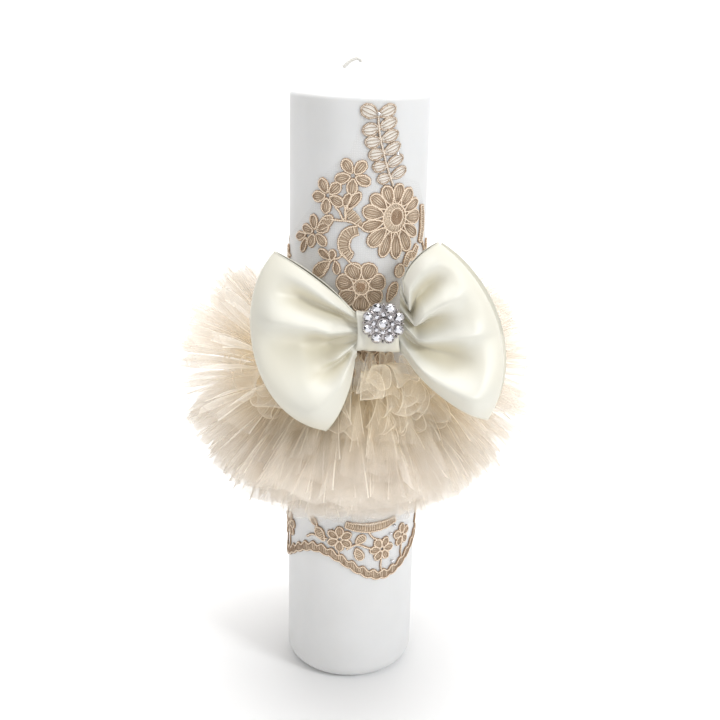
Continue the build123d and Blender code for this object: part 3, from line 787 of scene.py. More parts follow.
def side_motifs():
    """Sprigs beside the peak and the flowers that go on round the back."""
    build = Build()
    lace_ring(build, (23.0, 231.5), 2.7, 3.2)
    hatched_band(build, [(26.5, 234.0), (29.0, 238.5), (32.0, 238.0), (35.5, 242.5)], 4.0, 0.4, 1.2)
    lace_petal(build, (16.5, 216.5), (21.0, 225.5), 5.0, hatch=1.2)
    hatched_band(build, [(38.5, 244.0), (40.5, 251.0), (39.5, 262.0)], 4.0, 0.4, 1.2)
    lace_petal(build, (-50.5, 229.0), (-51.5, 238.5), 4.6, hatch=1.2)
    for centre in ((4.0, 193.0), (15.0, 183.0), (-7.0, 181.0), (22.0, 199.0)):
        lace_flower(build, centre, round_tips(centre, 6, 7.6, 0.9), 5.0, rays=3)
    for angle, z in ((-115, 236.0), (-155, 250.0), (155, 250.0), (118, 236.0)):
        centre = (arc(angle), z)
        lace_flower(build, centre, round_tips(centre, 6, 10.8, 0.4), 6.6, hub=3.0, rays=5)
    for start, end, z0, z1 in ((-72, -103, 234, 230), (-127, -144, 238, 246), (-168, -192, 252, 252),
                               (144, 129, 246, 238),
                               (107, 66, 232, 244)):
        line = [(arc(start), z0), (arc((2 * start + end) / 3), (z0 + z1) / 2 + 2.4),
                (arc((start + 2 * end) / 3), (z0 + z1) / 2 - 2.4), (arc(end), z1)]
        lace_cord(build, line)
        for k in (1, 2):
            s, z = line[k]
            lace_petal(build, (s, z), (s + 3.0, z + 7.4 * (-1) ** k), 4.2, hatch=1.1)
    return lace_piece(build, "side_motifs")


net_sleeve()
for draw_lace in (border_band, crescents, border_flowers, border_leaves, large_flower, round_flower,
                  small_flowers,
                  leaf_spray, scroll_leaf, side_motifs):
    draw_lace()


# ------------------------------------------------------------------ tulle
STRIPS = 62
STRIP_LENGTH = 57.0
STRIP_WIDTH = 32.0
TURN_WIDTH = 0.8
TURNED_SHARE = 0.62
FIRST_UNDER_BOW = 4
FRONT_MIDDLE, FRONT_HALF, FRONT_FADE = 3.0, 50.0, 20.0


def front_share(angle):
    """1 behind and under the bow, 0 at the sides and back, smooth between."""
    off = abs((angle - FRONT_MIDDLE + 180) % 360 - 180)
    t = min(max((FRONT_HALF + FRONT_FADE - off) / FRONT_FADE, 0), 1)
    return t * t * (3 - 2 * t)


def layer_place(layer):
    """Root height of a layer, and the slope from there to its cut edge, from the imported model."""
    low, high = node_box(f"tulle_layer_{layer}")
    pitch = (thread_high[2] - thread_low[2] - 0.8) / (LAYERS - 1)
    root = gather_z + (layer - (LAYERS + 1) / 2) * pitch
    fall, rise = low[2] - root, high[2] - root
    return root, math.degrees(math.atan2(rise if rise > -fall else fall, high[0] - root_radius))


def turned_edges(build, place, uv, offset):
    """Narrow fold along both long edges of a strip, given as rows of vertices."""
    rows = len(place)
    for edge, inner in ((0, 1), (-1, -2)):
        out = place[:, edge]
        way = place[:, inner] - out
        way /= np.linalg.norm(way, axis=1)[:, None] + 1e-9
        lift = np.cross(way, np.gradient(out, axis=0))
        lift /= np.linalg.norm(lift, axis=1)[:, None] + 1e-9
        grown = np.linspace(0.3, 1, rows)[:, None]
        inside = out + way * TURN_WIDTH * grown + lift * offset
        fold = np.stack([out + lift * 0.5 * offset, inside], 1)
        flat = np.stack([uv[:, edge], uv[:, edge] + [TURN_WIDTH, 0]], 1)
        # Material 1 is the same tulle in a lighter colour, a painted highlight along the fold.
        build.grid(fold, flat, 1)


def strip(build, angle, root, first, last, length, width, rng, folds, turned):
    """One cut strip: pinched at its root and spread, rippled and a little twisted towards its end."""
    rows, columns = 17, 13
    v = np.linspace(0, 1, rows)[:, None]
    u = np.linspace(-1, 1, columns)[None, :]
    slope = np.radians(first + (last - first) * v ** 0.8)
    slant, tip = rng.normal(0, 0.018), rng.normal(0, 0.014)
    step = length / (rows - 1)
    r = root_radius + np.concatenate([[[0]], np.cumsum(np.cos(slope)[:-1], 0) * step])
    z = root + np.concatenate([[[0]], np.cumsum(np.sin(slope)[:-1], 0) * step])
    stretch = 1 + (slant * u + tip - 0.05 * u ** 2 + 0.02 * np.cos(2.2 * u + rng.uniform(0, 6))) * v ** 3
    r = root_radius + (r - root_radius) * stretch
    z = root + (z - root) * stretch
    half = 0.5 * (2.4 + (width - 2.4) * v ** 0.75)
    phase, sway = rng.uniform(0, 6.3), rng.normal(0, 2.2)
    depth = (0.5 + 0.15 * width * v ** 0.9) * rng.uniform(0.7, 1.4)
    wave = np.arcsin(0.9 * np.sin(math.pi * folds * u + phase + 0.8 * v)) * 2 / math.pi
    ripple = depth * wave + sway * v ** 1.5
    ripple = ripple + 0.8 * v ** 2 * np.sin(5.1 * u + 9 * v + phase)
    turn = math.radians(angle) + (u * half + rng.normal(0, 2.0) * v) / r
    out = r - np.sin(slope) * ripple
    place = np.stack([out * np.sin(turn), -out * np.cos(turn), z + np.cos(slope) * ripple], -1)
    flat = np.stack([np.broadcast_to(0.5 * u * width, r.shape) + rng.uniform(0, 99),
                     np.broadcast_to(v * length, r.shape)], -1)
    build.grid(place, flat)
    if turned:
        turned_edges(build, place, flat, 0.15)


def tulle_layer(layer):
    """One gathered ring of strips. The upper ones lie down in front, to go under the bow."""
    rng = np.random.default_rng(100 + layer)
    build = Build()
    root, slope = layer_place(layer)
    for i in range(STRIPS):
        angle = 360 * (i + rng.uniform(-0.35, 0.35)) / STRIPS + 2.3 * layer
        share = front_share(angle)
        first = slope + rng.normal(10, 5)
        last = slope - rng.normal(14, 7)
        length = STRIP_LENGTH * rng.uniform(0.97, 1.03)
        if layer >= FIRST_UNDER_BOW:
            above = layer - FIRST_UNDER_BOW
            first += share * (-34 + 6 * above + rng.normal(0, 4) - first)
            last += share * (-50 - 5 * above + rng.normal(0, 7) - last)
            length *= 1 - share * above * rng.uniform(0.09, 0.17)
        width = STRIP_WIDTH * rng.uniform(0.7, 1.15)
        strip(build, angle, root, first, last, length, width, rng, rng.uniform(1.0, 2.2),
              rng.uniform() < TURNED_SHARE)
    piece = build.piece(f"tulle_{layer}", [TULLE, TULLE_FOLD_HIGHLIGHT])
    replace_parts(piece, f"tulle_layer_{layer}")
    return piece


def tulle_loop(build, foot, outward, up, length, height, width, rng):
    """Strip folded back on itself: a teardrop from foot along outward, open towards up."""
    outward = np.array(outward, float) / np.linalg.norm(outward)
    side = np.cross(up, outward)
    side /= np.linalg.norm(side)
    lift = np.cross(outward, side)
    rows, columns = 25, 11
    a = np.linspace(0.12, 2 * math.pi - 0.12, rows)[:, None]
    u = np.linspace(-1, 1, columns)[None, :]
    reach = (1 - np.cos(a)) / 2
    bulge = np.sin(a) * np.sin(a / 2) ** 1.4
    ripple = rng.uniform(0.8, 1.8) * np.sin(2.6 * u + rng.uniform(0, 6.3) + a)
    half = 0.5 * width * (0.25 + 0.75 * reach)
    lengthwise = length * reach * (1 + 0.08 * np.sin(3 * u + rng.uniform(0, 6)))
    rise = height * bulge + ripple * reach
    aside = half * u + rng.normal(0, 1.2) * np.sin(a)
    place = (np.array(foot, float) + lengthwise[..., None] * outward + rise[..., None] * lift
             + aside[..., None] * side)
    uv = np.stack([np.broadcast_to(0.5 * u * width, ripple.shape),
                   np.broadcast_to(a * length / 2.6, ripple.shape)], -1)
    build.grid(place, uv)
    turned_edges(build, place, uv, 0.15)


def rosette():
    """Crumpled loops of tulle under the knot, with puffs out to both sides."""
    rng = np.random.default_rng(31)
    build = Build()
    low, high = node_box("tulle_rosette")
    middle_z = (low[2] + high[2]) / 2
    front = -low[1]
    loops = [(3, 14, 8, -60, 20, 4, 9), (10, 15, 10, -52, 22, 5, 10), (17, 15, 10, -58, 23, 5, 10),
             (25, 14, 8, -46, 24, 4, 12),
             (34, 11, 6, -40, 26, 4, 14), (7, 6, 12, -22, 20, 8, 12), (15, 4, 14, -38, 22, 9, 11),
             (25, 4, 12, -20, 22, 8, 14),
             (-1, 4, 10, -38, 22, 8, 12), (33, 1, 10, -26, 26, 8, 15), (11, -2, 14, -50, 25, 9, 10),
             (20, -3, 14, -38, 25, 9, 12),
             (2, -4, 10, -46, 26, 8, 12), (28, -3, 12, -42, 26, 7, 13), (40, -3, 8, -32, 28, 7, 17),
             (-9, -2, 8, -42, 27, 7, 15),
             (14, 9, 12, -10, 17, 7, 12), (22, 9, 10, -4, 18, 6, 13), (5, -2, 13, -62, 21, 7, 9),
             (17, -8, 10, -44, 27, 7, 15),
             (-66, 3, 8, -8, 27, 7, 22), (-56, 1, 8, -16, 28, 8, 22), (-76, 3, 8, 2, 26, 6, 22),
             (-46, 0, 6, -26, 28, 8, 22),
             (-36, -2, 4, -34, 28, 8, 20), (-27, -3, 4, -42, 28, 7, 18), (-18, -4, 4, -46, 28, 7, 17),
             (47, 0, 6, -26, 28, 8, 20),
             (56, 1, 8, -16, 27, 7, 22), (66, 3, 8, -8, 26, 6, 22), (76, 3, 8, 2, 25, 6, 22)]
    for angle, dz, out, slope, length, height, width in loops:
        a, e = math.radians(angle + rng.normal(0, 3)), math.radians(slope + rng.normal(0, 6))
        radius = front - 12 + 0.5 * out
        foot = (radius * math.sin(a), -radius * math.cos(a), middle_z + dz)
        b = a + rng.normal(0, 0.3)
        outward = (math.sin(b) * math.cos(e), -math.cos(b) * math.cos(e), math.sin(e))
        up = (math.sin(a) * math.cos(e + 1.5), -math.cos(a) * math.cos(e + 1.5), math.sin(e + 1.5))
        tulle_loop(build, foot, outward, up, length, height, width, rng)
    piece = build.piece("rosette", [TULLE, TULLE_FOLD_HIGHLIGHT])
    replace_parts(piece, "tulle_rosette")
    return piece


def gathering_thread():
    """A turn of doubled thread at the root of each layer, pulled tight and a little uneven."""
    build = Build()
    turn = full_turn(120)
    for layer in range(1, LAYERS + 1):
        root = layer_place(layer)[0]
        for k in (-1, 1):
            z = root + 0.2 * k + 0.12 * np.sin(9 * turn + layer) + 0.05 * np.sin(23 * turn + 2 * layer)
            r = root_radius - 0.4 + 0.04 * np.sin(31 * turn)
            build.add(*tube(np.stack([r * np.sin(turn), -r * np.cos(turn), z], 1), 0.28, 6, closed=True))
    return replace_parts(build.piece("gathering_thread", [THREAD]), "tulle_gathering_thread")


# ------------------------------------------------------------------ satin bow
FOLD_DEPTH = 3.0
LAYER_GAP = 0.8
OUTLINE_STEPS = 120
WAIST_CLEAR = 1.0


def lean(z):
    """Y of the middle of the loops at a height: below the knot they lean out over the tulle."""
    rise = z - knot_mid[2]
    return knot_mid[1] - np.where(rise < 0, -0.45 * rise, -0.10 * rise)


def ease(low, high, x):
    t = np.clip((x - low) / (high - low), 0, 1)
    return t * t * (3 - 2 * t)


def crease(u, v, at_knot, at_rim, start, end, narrow, wide, height):
    """Ridge, or valley if its height is negative, that spreads from the knot towards the rim."""
    middle = at_knot + (at_rim - at_knot) * u
    width = narrow + (wide - narrow) * u
    along = ease(start - 0.08, start + 0.08, u) * (1 - ease(end - 0.3, end + 0.05, u))
    return height * along * np.exp(-np.abs((v - middle) / width) ** 1.5)


def paint_fold_shade(piece, values):
    """Stores the painted fold shade of each vertex, from 0 in a valley to 1 on a ridge."""
    piece.data.attributes.new("fold", "FLOAT", "POINT").data.foreach_set("value", values.astype(np.float32))


def loop_edges(node, waist_x, mirror):
    """Waist, lower edge, rim and upper edge of a loop seen from the front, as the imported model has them."""
    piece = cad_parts[node]
    corners = np.array([piece.matrix_world @ v.co for v in piece.data.vertices])[:, [0, 2]] / MM
    ends = corners[[list(e.vertices) for e in piece.data.edges]]
    share = np.linspace(0, 1, 12)[None, :, None]
    points = (ends[:, :1] * (1 - share) + ends[:, 1:] * share).reshape(-1, 2)
    points = points[mirror * (points[:, 0] - waist_x) > 0]
    away = points - (points.min(0) + points.max(0)) / 2
    turn = np.arctan2(away[:, 1], mirror * away[:, 0])
    sector = np.floor((turn + math.pi) / (2 * math.pi) * OUTLINE_STEPS).astype(int)
    reach = np.linalg.norm(away, axis=1)
    outline = []
    for k in range(OUTLINE_STEPS):
        inside = np.flatnonzero(sector == k)
        if len(inside):
            outline.append(points[inside[np.argmax(reach[inside])]])
    outline = np.array(outline)
    tip, corner = int(np.argmin(outline[:, 1])), int(np.argmax(outline[:, 1]))
    clear = mirror * (outline[:, 0] - waist_x) > WAIST_CLEAR
    at_waist = outline[~clear][:, 1]
    waist = [(waist_x, at_waist.min()), (waist_x, at_waist.max())]
    lower = outline[:tip][clear[:tip]]
    upper = outline[corner + 1:][clear[corner + 1:]][::-1]
    return waist, lower, outline[tip:corner + 1], upper


def bow_loop(name, edges, creases, back_creases, seed, hem_lines):
    """Folded ribbon loop: its front and back meet in a soft fold at the rim."""
    waist, lower, rim, upper = edges
    rng = np.random.default_rng(seed)
    n, m = 56, 64
    fine = 200
    edge_low, edge_up = smooth_line([waist[0], *lower, rim[0]],
                                    fine), smooth_line([waist[1], *upper, rim[-1]], fine)
    edge_rim, edge_waist = smooth_line(rim, fine), smooth_line(waist, fine)

    def pick(line, t):
        at = np.clip(t, 0, 1) * (fine - 1)
        i = np.minimum(at.astype(int), fine - 2)
        f = (at - i)[..., None]
        return line[i] * (1 - f) + line[i + 1] * f

    q = np.linspace(-1, 1, 2 * n + 1)
    u = np.sin(0.5 * math.pi * (1 - np.abs(q)))[:, None] * np.ones((1, m))
    v = np.linspace(0, 1, m)[None, :] * np.ones((2 * n + 1, 1))
    uu, vv = u[..., None], v[..., None]
    flat = ((1 - vv) * pick(edge_low, u) + vv * pick(edge_up, u)
            + (1 - uu) * pick(edge_waist, v) + uu * pick(edge_rim, v)
            - ((1 - uu) * (1 - vv) * edge_low[0] + (1 - uu) * vv * edge_up[0] + uu * (1 - vv) * edge_low[-1]
               + uu * vv * edge_up[-1]))
    face = np.sign(q)[:, None]
    body = 2.2 + 5.0 * ease(0, 0.4, u)
    rounding = np.sqrt(np.clip(1 - (np.clip(u - 0.78, 0, 1) / 0.22) ** 2, 0, 1))
    edge = 0.3 + 0.7 * np.clip(1 - (2 * v - 1) ** 4, 0, 1) ** 0.8
    thick = body * rounding * edge
    rise = np.zeros_like(u)
    for spec in creases:
        rise += FOLD_DEPTH * crease(u, v, *spec) * (face >= 0)
    for spec in back_creases:
        rise += crease(u, v, *spec) * (face < 0)
    ripples = np.sin(44 * v + rng.uniform(0, 6)) + 0.6 * np.sin(71 * v + rng.uniform(0, 6))
    gather = 0.55 * np.exp(-u / 0.16) * ripples
    sag = 0.5 * np.sin(5 * u + 3 * v + rng.uniform(0, 6)) * ease(0.2, 0.6, u) * (1 - ease(0.8, 1, u))
    off = np.maximum(thick + (rise + sag) * rounding + gather, LAYER_GAP * rounding - thick * (face > 0))
    y = lean(flat[..., 1]) - face * off
    y = knot_mid[1] + (y - knot_mid[1]) * (0.35 + 0.65 * ease(0, 0.3, u))
    place = np.stack([flat[..., 0], y, flat[..., 1]], -1)
    uv = np.stack([np.sign(q)[:, None] * u * 55.0, v * 80.0], -1)
    build = Build()
    build.grid(place, uv)
    for column in (0, m - 1):
        build.add(*tube(place[::2, column], 0.32, 6))
    for inner, outer_shift, back in hem_lines:
        rows = np.linspace(inner, 1, 10)[:, None] * np.ones((1, m))
        cols = np.linspace(0.02, 0.98, m)[None, :] * np.ones((10, 1))
        under = pick(edge_rim, cols) * rows[..., None] + (1 - rows[..., None]) * np.mean(edge_waist, 0)
        out = under - np.mean(edge_waist, 0)
        push = outer_shift * np.sin(math.pi * cols) ** 0.5
        under = under + out / np.linalg.norm(out, axis=-1)[..., None] * push[..., None]
        depth = lean(under[..., 1]) + back + 0.6 * np.sin(9 * cols + 2 * back)
        sheet_place = np.stack([under[..., 0], depth, under[..., 1]], -1)
        build.add(sheet_place.reshape(-1, 3), grid_faces(10, m),
                  np.stack([rows * 55, cols * 80], -1).reshape(-1, 2))
    piece = build.piece(name, [SATIN])
    # Painted shade: warmer in the valleys and cooler on the ridges, from how high each place lies in the
    # folds; the hems and edge tubes get the middle value.
    painted_light = np.full(build.count, 0.5)
    painted_fold_shade = 0.45 + 0.035 * FOLD_DEPTH * rise + 0.2 * gather
    painted_light[:painted_fold_shade.size] = np.clip(painted_fold_shade, 0, 1).ravel()
    paint_fold_shade(piece, painted_light)
    return piece


def bow_loops():
    left_end, right_end = knot_low[0] + 0.4, knot_high[0] - 0.4
    left = bow_loop(
        "bow_left", loop_edges("bow_left_loop", left_end, -1),
        [(0.62, 0.70, 0.0, 1.0, 0.06, 0.12, 2.4), (0.42, 0.50, 0.0, 0.55, 0.055, 0.2, -4.6),
         (0.80, 0.85, 0.0, 0.85, 0.05, 0.1, -2.4),
         (0.30, 0.35, 0.0, 0.5, 0.05, 0.1, 1.8), (0.20, 0.36, 0.1, 0.62, 0.05, 0.12, -3.2),
         (0.12, 0.16, 0.0, 0.95, 0.06, 0.15, 2.0),
         (0.5, 0.56, 0.35, 0.95, 0.1, 0.13, -1.6), (0.92, 0.94, 0.0, 0.9, 0.05, 0.06, 1.2)],
        [(0.35, 0.3, 0.0, 0.7, 0.06, 0.12, -2.2), (0.65, 0.7, 0.0, 0.8, 0.06, 0.12, -2.0),
         (0.5, 0.5, 0.0, 0.9, 0.06, 0.12, 1.5)],
        5, [])
    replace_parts(left, "bow_left_loop")
    right = bow_loop(
        "bow_right", loop_edges("bow_right_loop", right_end, 1),
        [(0.14, 0.10, 0.0, 1.0, 0.06, 0.1, 2.4), (0.30, 0.30, 0.05, 0.8, 0.05, 0.13, -2.8),
         (0.45, 0.45, 0.0, 0.95, 0.05, 0.07, 1.8),
         (0.56, 0.60, 0.0, 0.7, 0.04, 0.07, -2.8), (0.66, 0.72, 0.0, 0.95, 0.05, 0.08, 2.2),
         (0.78, 0.84, 0.0, 0.85, 0.04, 0.07, -2.6),
         (0.92, 0.93, 0.0, 0.95, 0.05, 0.06, 1.6)],
        [(0.35, 0.3, 0.0, 0.7, 0.06, 0.12, -2.2), (0.7, 0.72, 0.0, 0.8, 0.06, 0.12, -2.0),
         (0.5, 0.5, 0.0, 0.9, 0.06, 0.12, 1.5)],
        9, [(0.6, 1.0, 1.2), (0.6, 2.0, 3.0)])
    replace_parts(right, "bow_right_loop")


def knot_band():
    """Satin wrapped round the waist: a band with soft creases and turned edges."""
    build = Build()
    rng = np.random.default_rng(3)
    turn = full_turn(72)
    across = np.linspace(-1, 1, 30)
    half_y, half_z = (knot_high[1] - knot_low[1]) / 2, (knot_high[2] - knot_low[2]) / 2
    half_x = (knot_high[0] - knot_low[0]) / 2
    ring = np.stack([np.sign(np.cos(turn)) * np.abs(np.cos(turn)) ** 0.6,
                     np.sign(np.sin(turn)) * np.abs(np.sin(turn)) ** 0.75], 1)
    creases = [(rng.uniform(-0.8, 0.8), rng.uniform(0.12, 0.25), rng.uniform(0.25, 0.5),
                rng.uniform(0, 6.3)) for _ in range(4)]
    rows = []
    for side, inset in ((1, 0.0), (-1, 1.4)):
        for c in across[::side]:
            fold = sum(-depth * np.exp(-((c - at - 0.06 * np.sin(turn + wave)) / wide) ** 2) for at, wide,
                       depth, wave in creases)
            rim = 0.5 * np.clip(abs(c) - 0.85, 0, 1) / 0.15
            grow = 1 + (fold - inset - rim * (1 if side > 0 else -0.6)) / half_y
            y = knot_mid[1] + (half_y - 0.1) * grow * ring[:, 0]
            z = knot_mid[2] + (half_z - 0.1 + (fold - inset - rim) * 0.8) * ring[:, 1]
            x = knot_mid[0] + half_x * c * (1 - 0.05 * np.cos(2 * turn)) * np.ones(len(turn))
            rows.append(np.stack([x, y, z], 1))
    place = np.stack(rows)
    n = len(rows)
    faces = grid_faces(n, len(turn), closed=True)
    last = (n - 1) * len(turn)
    faces += [(last + c, last + (c + 1) % len(turn), (c + 1) % len(turn), c) for c in range(len(turn))]
    uv = np.stack(np.broadcast_arrays(np.concatenate([across, across[::-1]])[:, None] * half_x,
                                      turn[None, :] * 9.0), -1)
    build.add(place.reshape(-1, 3), faces, uv.reshape(-1, 2))
    piece = build.piece("knot_band", [SATIN])
    # Painted shade: bands across the knot, warmer and cooler in turn.
    paint_fold_shade(piece, np.clip(0.62 + np.tile(0.25 * np.sin(across * 5.0), 2)[:, None] * np.ones(len(turn)),
                             0, 1).ravel())
    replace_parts(piece, "bow_knot_band")
    return piece


def pinch_thread():
    """Coil of thread round the gathered waist, inside the knot."""
    build = Build()
    low, high = node_box("bow_pinch_thread")
    turns, wide = 5, 0.3
    a = np.linspace(0, 2 * math.pi * turns, 160)
    half_y, half_z = (high[1] - low[1]) / 2 - wide, (high[2] - low[2]) / 2 - wide
    y = knot_mid[1] + half_y * np.sign(np.cos(a)) * np.abs(np.cos(a)) ** 0.6
    z = knot_mid[2] + half_z * np.sign(np.sin(a)) * np.abs(np.sin(a)) ** 0.75
    x = np.linspace(low[0] + wide, high[0] - wide, len(a))
    build.add(*tube(np.stack([x, y, z], 1), wide, 6))
    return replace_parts(build.piece("pinch_thread", [THREAD]), "bow_pinch_thread")


def glue_pad():
    """Set glue between the lace and the back of the knot, bulging where it was pressed."""
    build = Build()
    low, high = node_box("bow_glue_pad")
    middle = (low + high) / 2
    turn = full_turn(28)
    rows = []
    for t in np.linspace(0, 1, 9):
        radius = (high[0] - low[0]) / 2 - 0.3 + 0.5 * math.sin(math.pi * t) + 0.25 * np.sin(3 * turn + 2 * t)
        y = np.full(len(turn), high[1] + (low[1] - high[1]) * t)
        rows.append(np.stack([middle[0] + radius * np.cos(turn), y, middle[2] + radius * np.sin(turn)], 1))
    rows = [rows[0] * 0 + rows[0].mean(0), *rows, rows[-1] * 0 + rows[-1].mean(0)]
    place = np.stack(rows)
    uv = np.stack(np.broadcast_arrays(turn[None, :] * 6, np.arange(len(rows))[:, None]), -1)
    build.grid(place, uv, closed=True)
    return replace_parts(build.piece("glue_pad", [GLUE]), "bow_glue_pad")


# ------------------------------------------------------------------ brooch
stones_low, stones_high = node_box("brooch_outer_stones")
bezel_low, bezel_high = node_box("brooch_center_bezel")
inner_low, inner_high = node_box("brooch_inner_stones")
RING_COUNT = 8
OUTER_STONE, INNER_STONE, CENTRE_STONE = 2.3, 1.3, 2.3
half_step = math.pi / RING_COUNT
outer_ring = ((stones_high[0] - stones_low[0]) / 2 - OUTER_STONE) / math.cos(half_step)
inner_ring = (inner_high[0] - inner_low[0]) / 2 - INNER_STONE
brooch_back = brooch_high[1]


def on_brooch(x, y, out):
    """Place on the brooch from its centre and the back of its plate."""
    return np.stack(np.broadcast_arrays(brooch_mid[0] + np.asarray(x, float),
                                        brooch_back - np.asarray(out, float),
                                        brooch_mid[2] + np.asarray(y, float)), -1)


def brooch_lathe(build, centre, profile, sides=24, lobes=0, lobe=0.0):
    """Turned shape round a place on the brooch, from (radius, out) points. lobes scallops its edge."""
    turn = full_turn(sides)
    rows = []
    for radius, out in profile:
        r = radius + lobe * (radius > 1) * np.cos(lobes * turn)
        rows.append(on_brooch(centre[0] + r * np.cos(turn), centre[1] + r * np.sin(turn), out + 0 * turn))
    uv = np.stack(np.broadcast_arrays(turn[None, :], np.arange(len(rows))[:, None]), -1)
    build.add(np.concatenate(rows), grid_faces(len(rows), sides, closed=True), uv.reshape(-1, 2))


def prong(build, centre, radius, angle, low, high, thick=0.28):
    """Claw up the side of a cup and over the stone's edge."""
    way = np.array([math.cos(angle), math.sin(angle)])
    points = [(radius + 0.15, low), (radius + 0.2, 0.5 * (low + high)), (radius + 0.1, high - 0.25),
              (radius - 0.25, high),
              (radius - 0.55, high + 0.12)]
    place = [on_brooch(centre[0] + r * way[0], centre[1] + r * way[1], out) for r, out in points]
    build.add(*tube(smooth_line(place, 8), thick * np.array([1, 1, 1, 1, 1, 1.1, 1.05, 0.6]), 6))


def ring_places(count, radius, first):
    return [(radius * math.cos(first + 2 * math.pi * i / count),
             radius * math.sin(first + 2 * math.pi * i / count))
            for i in range(count)]


def brooch_base():
    build = Build()
    plate = outer_ring + 0.5
    brooch_lathe(build, (0, 0), [(0.01, 0), (plate, 0), (plate + 0.3, 0.4), (plate + 0.1, 0.9),
                                 (plate - 0.6, 1.25),
                                 (0.6 * plate, 1.45), (0.3 * plate, 1.3), (0.01, 1.3)], 96, 2 * RING_COUNT,
                 0.35)
    for centre in ring_places(RING_COUNT, outer_ring, half_step):
        brooch_lathe(build, centre, [(1.5, 0.6), (2.2, 0.8), (2.6, 1.3), (2.65, 1.9), (2.5, 2.05),
                                     (2.3, 1.95), (2.2, 1.2),
                                     (0.01, 1.1)], 24)
        facing = math.atan2(centre[1], centre[0])
        for k in range(4):
            prong(build, centre, OUTER_STONE, math.pi * (0.25 + 0.5 * k) + facing, 0.9, 2.3)
    for centre in ring_places(RING_COUNT, inner_ring, 0):
        brooch_lathe(build, centre, [(1.25, 1.0), (1.3, 1.5), (1.3, 1.95), (1.0, 2.0), (0.01, 1.7)], 16)
        facing = math.atan2(centre[1], centre[0])
        for k in range(3):
            prong(build, centre, INNER_STONE, 2 * math.pi * k / 3 + facing, 1.4, 2.35, 0.18)
    for centre in ring_places(RING_COUNT, outer_ring + 1.5, 0):
        brooch_lathe(build, centre, [(0.55, 0.7), (0.6, 1.3), (0.5, 1.7), (0.25, 1.95), (0.01, 2.0)], 12)
    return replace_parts(build.piece("brooch_setting", [SILVER]), "brooch_base")


def brooch_bezel():
    build = Build()
    plate_out = brooch_back - bezel_high[1]
    top = brooch_back - bezel_low[1]
    rim = (bezel_high[0] - bezel_low[0]) / 2
    brooch_lathe(build, (0, 0), [(rim - 0.5, plate_out), (rim, plate_out + 0.3),
                                 (rim - 0.15, plate_out + 1.0), (rim, top - 0.6),
                                 (rim, top - 0.1), (rim - 0.25, top), (CENTRE_STONE, top - 0.2),
                                 (CENTRE_STONE - 0.1, top - 0.8),
                                 (0.01, top - 0.9)], 40)
    turn = full_turn(28)
    for a in turn:
        brooch_lathe(build, ((rim - 0.1) * math.cos(a), (rim - 0.1) * math.sin(a)),
                     [(0.24, top - 0.75), (0.26, top - 0.5), (0.2, top - 0.3), (0.01, top - 0.2)], 8)
    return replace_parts(build.piece("brooch_bezel", [SILVER]), "brooch_center_bezel")


def cut_stones(name, node, centres, radius, seat, rng):
    """Round brilliants: a flat table, facets down to the girdle, each with its own painted reflection."""
    build = Build()
    painted_reflections = []
    for centre in centres:
        turn = rng.uniform(0, 6.3)
        rings = []
        for size, height, count, offset in ((0.52, 0.47, 8, 0.0), (0.80, 0.27, 8, 0.5),
                                            (1.0, 0.0, 16, 0.0), (0.97, -0.25, 16, 0.0)):
            a = turn + 2 * math.pi * (np.arange(count) + offset) / count
            rings.append(on_brooch(centre[0] + size * radius * np.cos(a),
                                   centre[1] + size * radius * np.sin(a),
                                   seat + height * radius + 0 * a))
        verts = np.concatenate(rings)
        faces = [tuple(range(8))]
        for i in range(8):
            j = (i + 1) % 8
            faces += [(i, 8 + i, j), (8 + i, 16 + (2 * i + 1) % 16, 16 + (2 * i + 2) % 16)]
            faces += [(j, 8 + i, 16 + (2 * i + 2) % 16, 8 + j),
                      (8 + i, 16 + (2 * i) % 16, 16 + (2 * i + 1) % 16)]
        for i in range(16):
            faces.append((16 + i, 16 + (i + 1) % 16, 32 + (i + 1) % 16, 32 + i))
        build.add(verts, faces, np.zeros((len(verts), 2)))
        # Painted reflection: the table gets a middle value and each other facet a random dark or bright one.
        painted_reflections.append(0.45)
        painted_reflections += rng.uniform(0, 1, len(faces) - 1).tolist()
    piece = build.piece(name, [STONE], smooth=False)
    facets = piece.data.attributes.new("facet", "FLOAT", "FACE")
    facets.data.foreach_set("value", np.array(painted_reflections, np.float32))
    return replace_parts(piece, node)


def brooch():
    rng = np.random.default_rng(12)
    brooch_base()
    brooch_bezel()
    cut_stones("outer_stones", "brooch_outer_stones", ring_places(RING_COUNT, outer_ring, half_step),
               OUTER_STONE, 2.0, rng)
    cut_stones("inner_stones", "brooch_inner_stones", ring_places(RING_COUNT, inner_ring, 0), INNER_STONE,
               2.1, rng)
    seat = brooch_back - bezel_low[1]
    cut_stones("centre_stone", "brooch_center_stone", [(0, 0)], CENTRE_STONE, seat, rng)


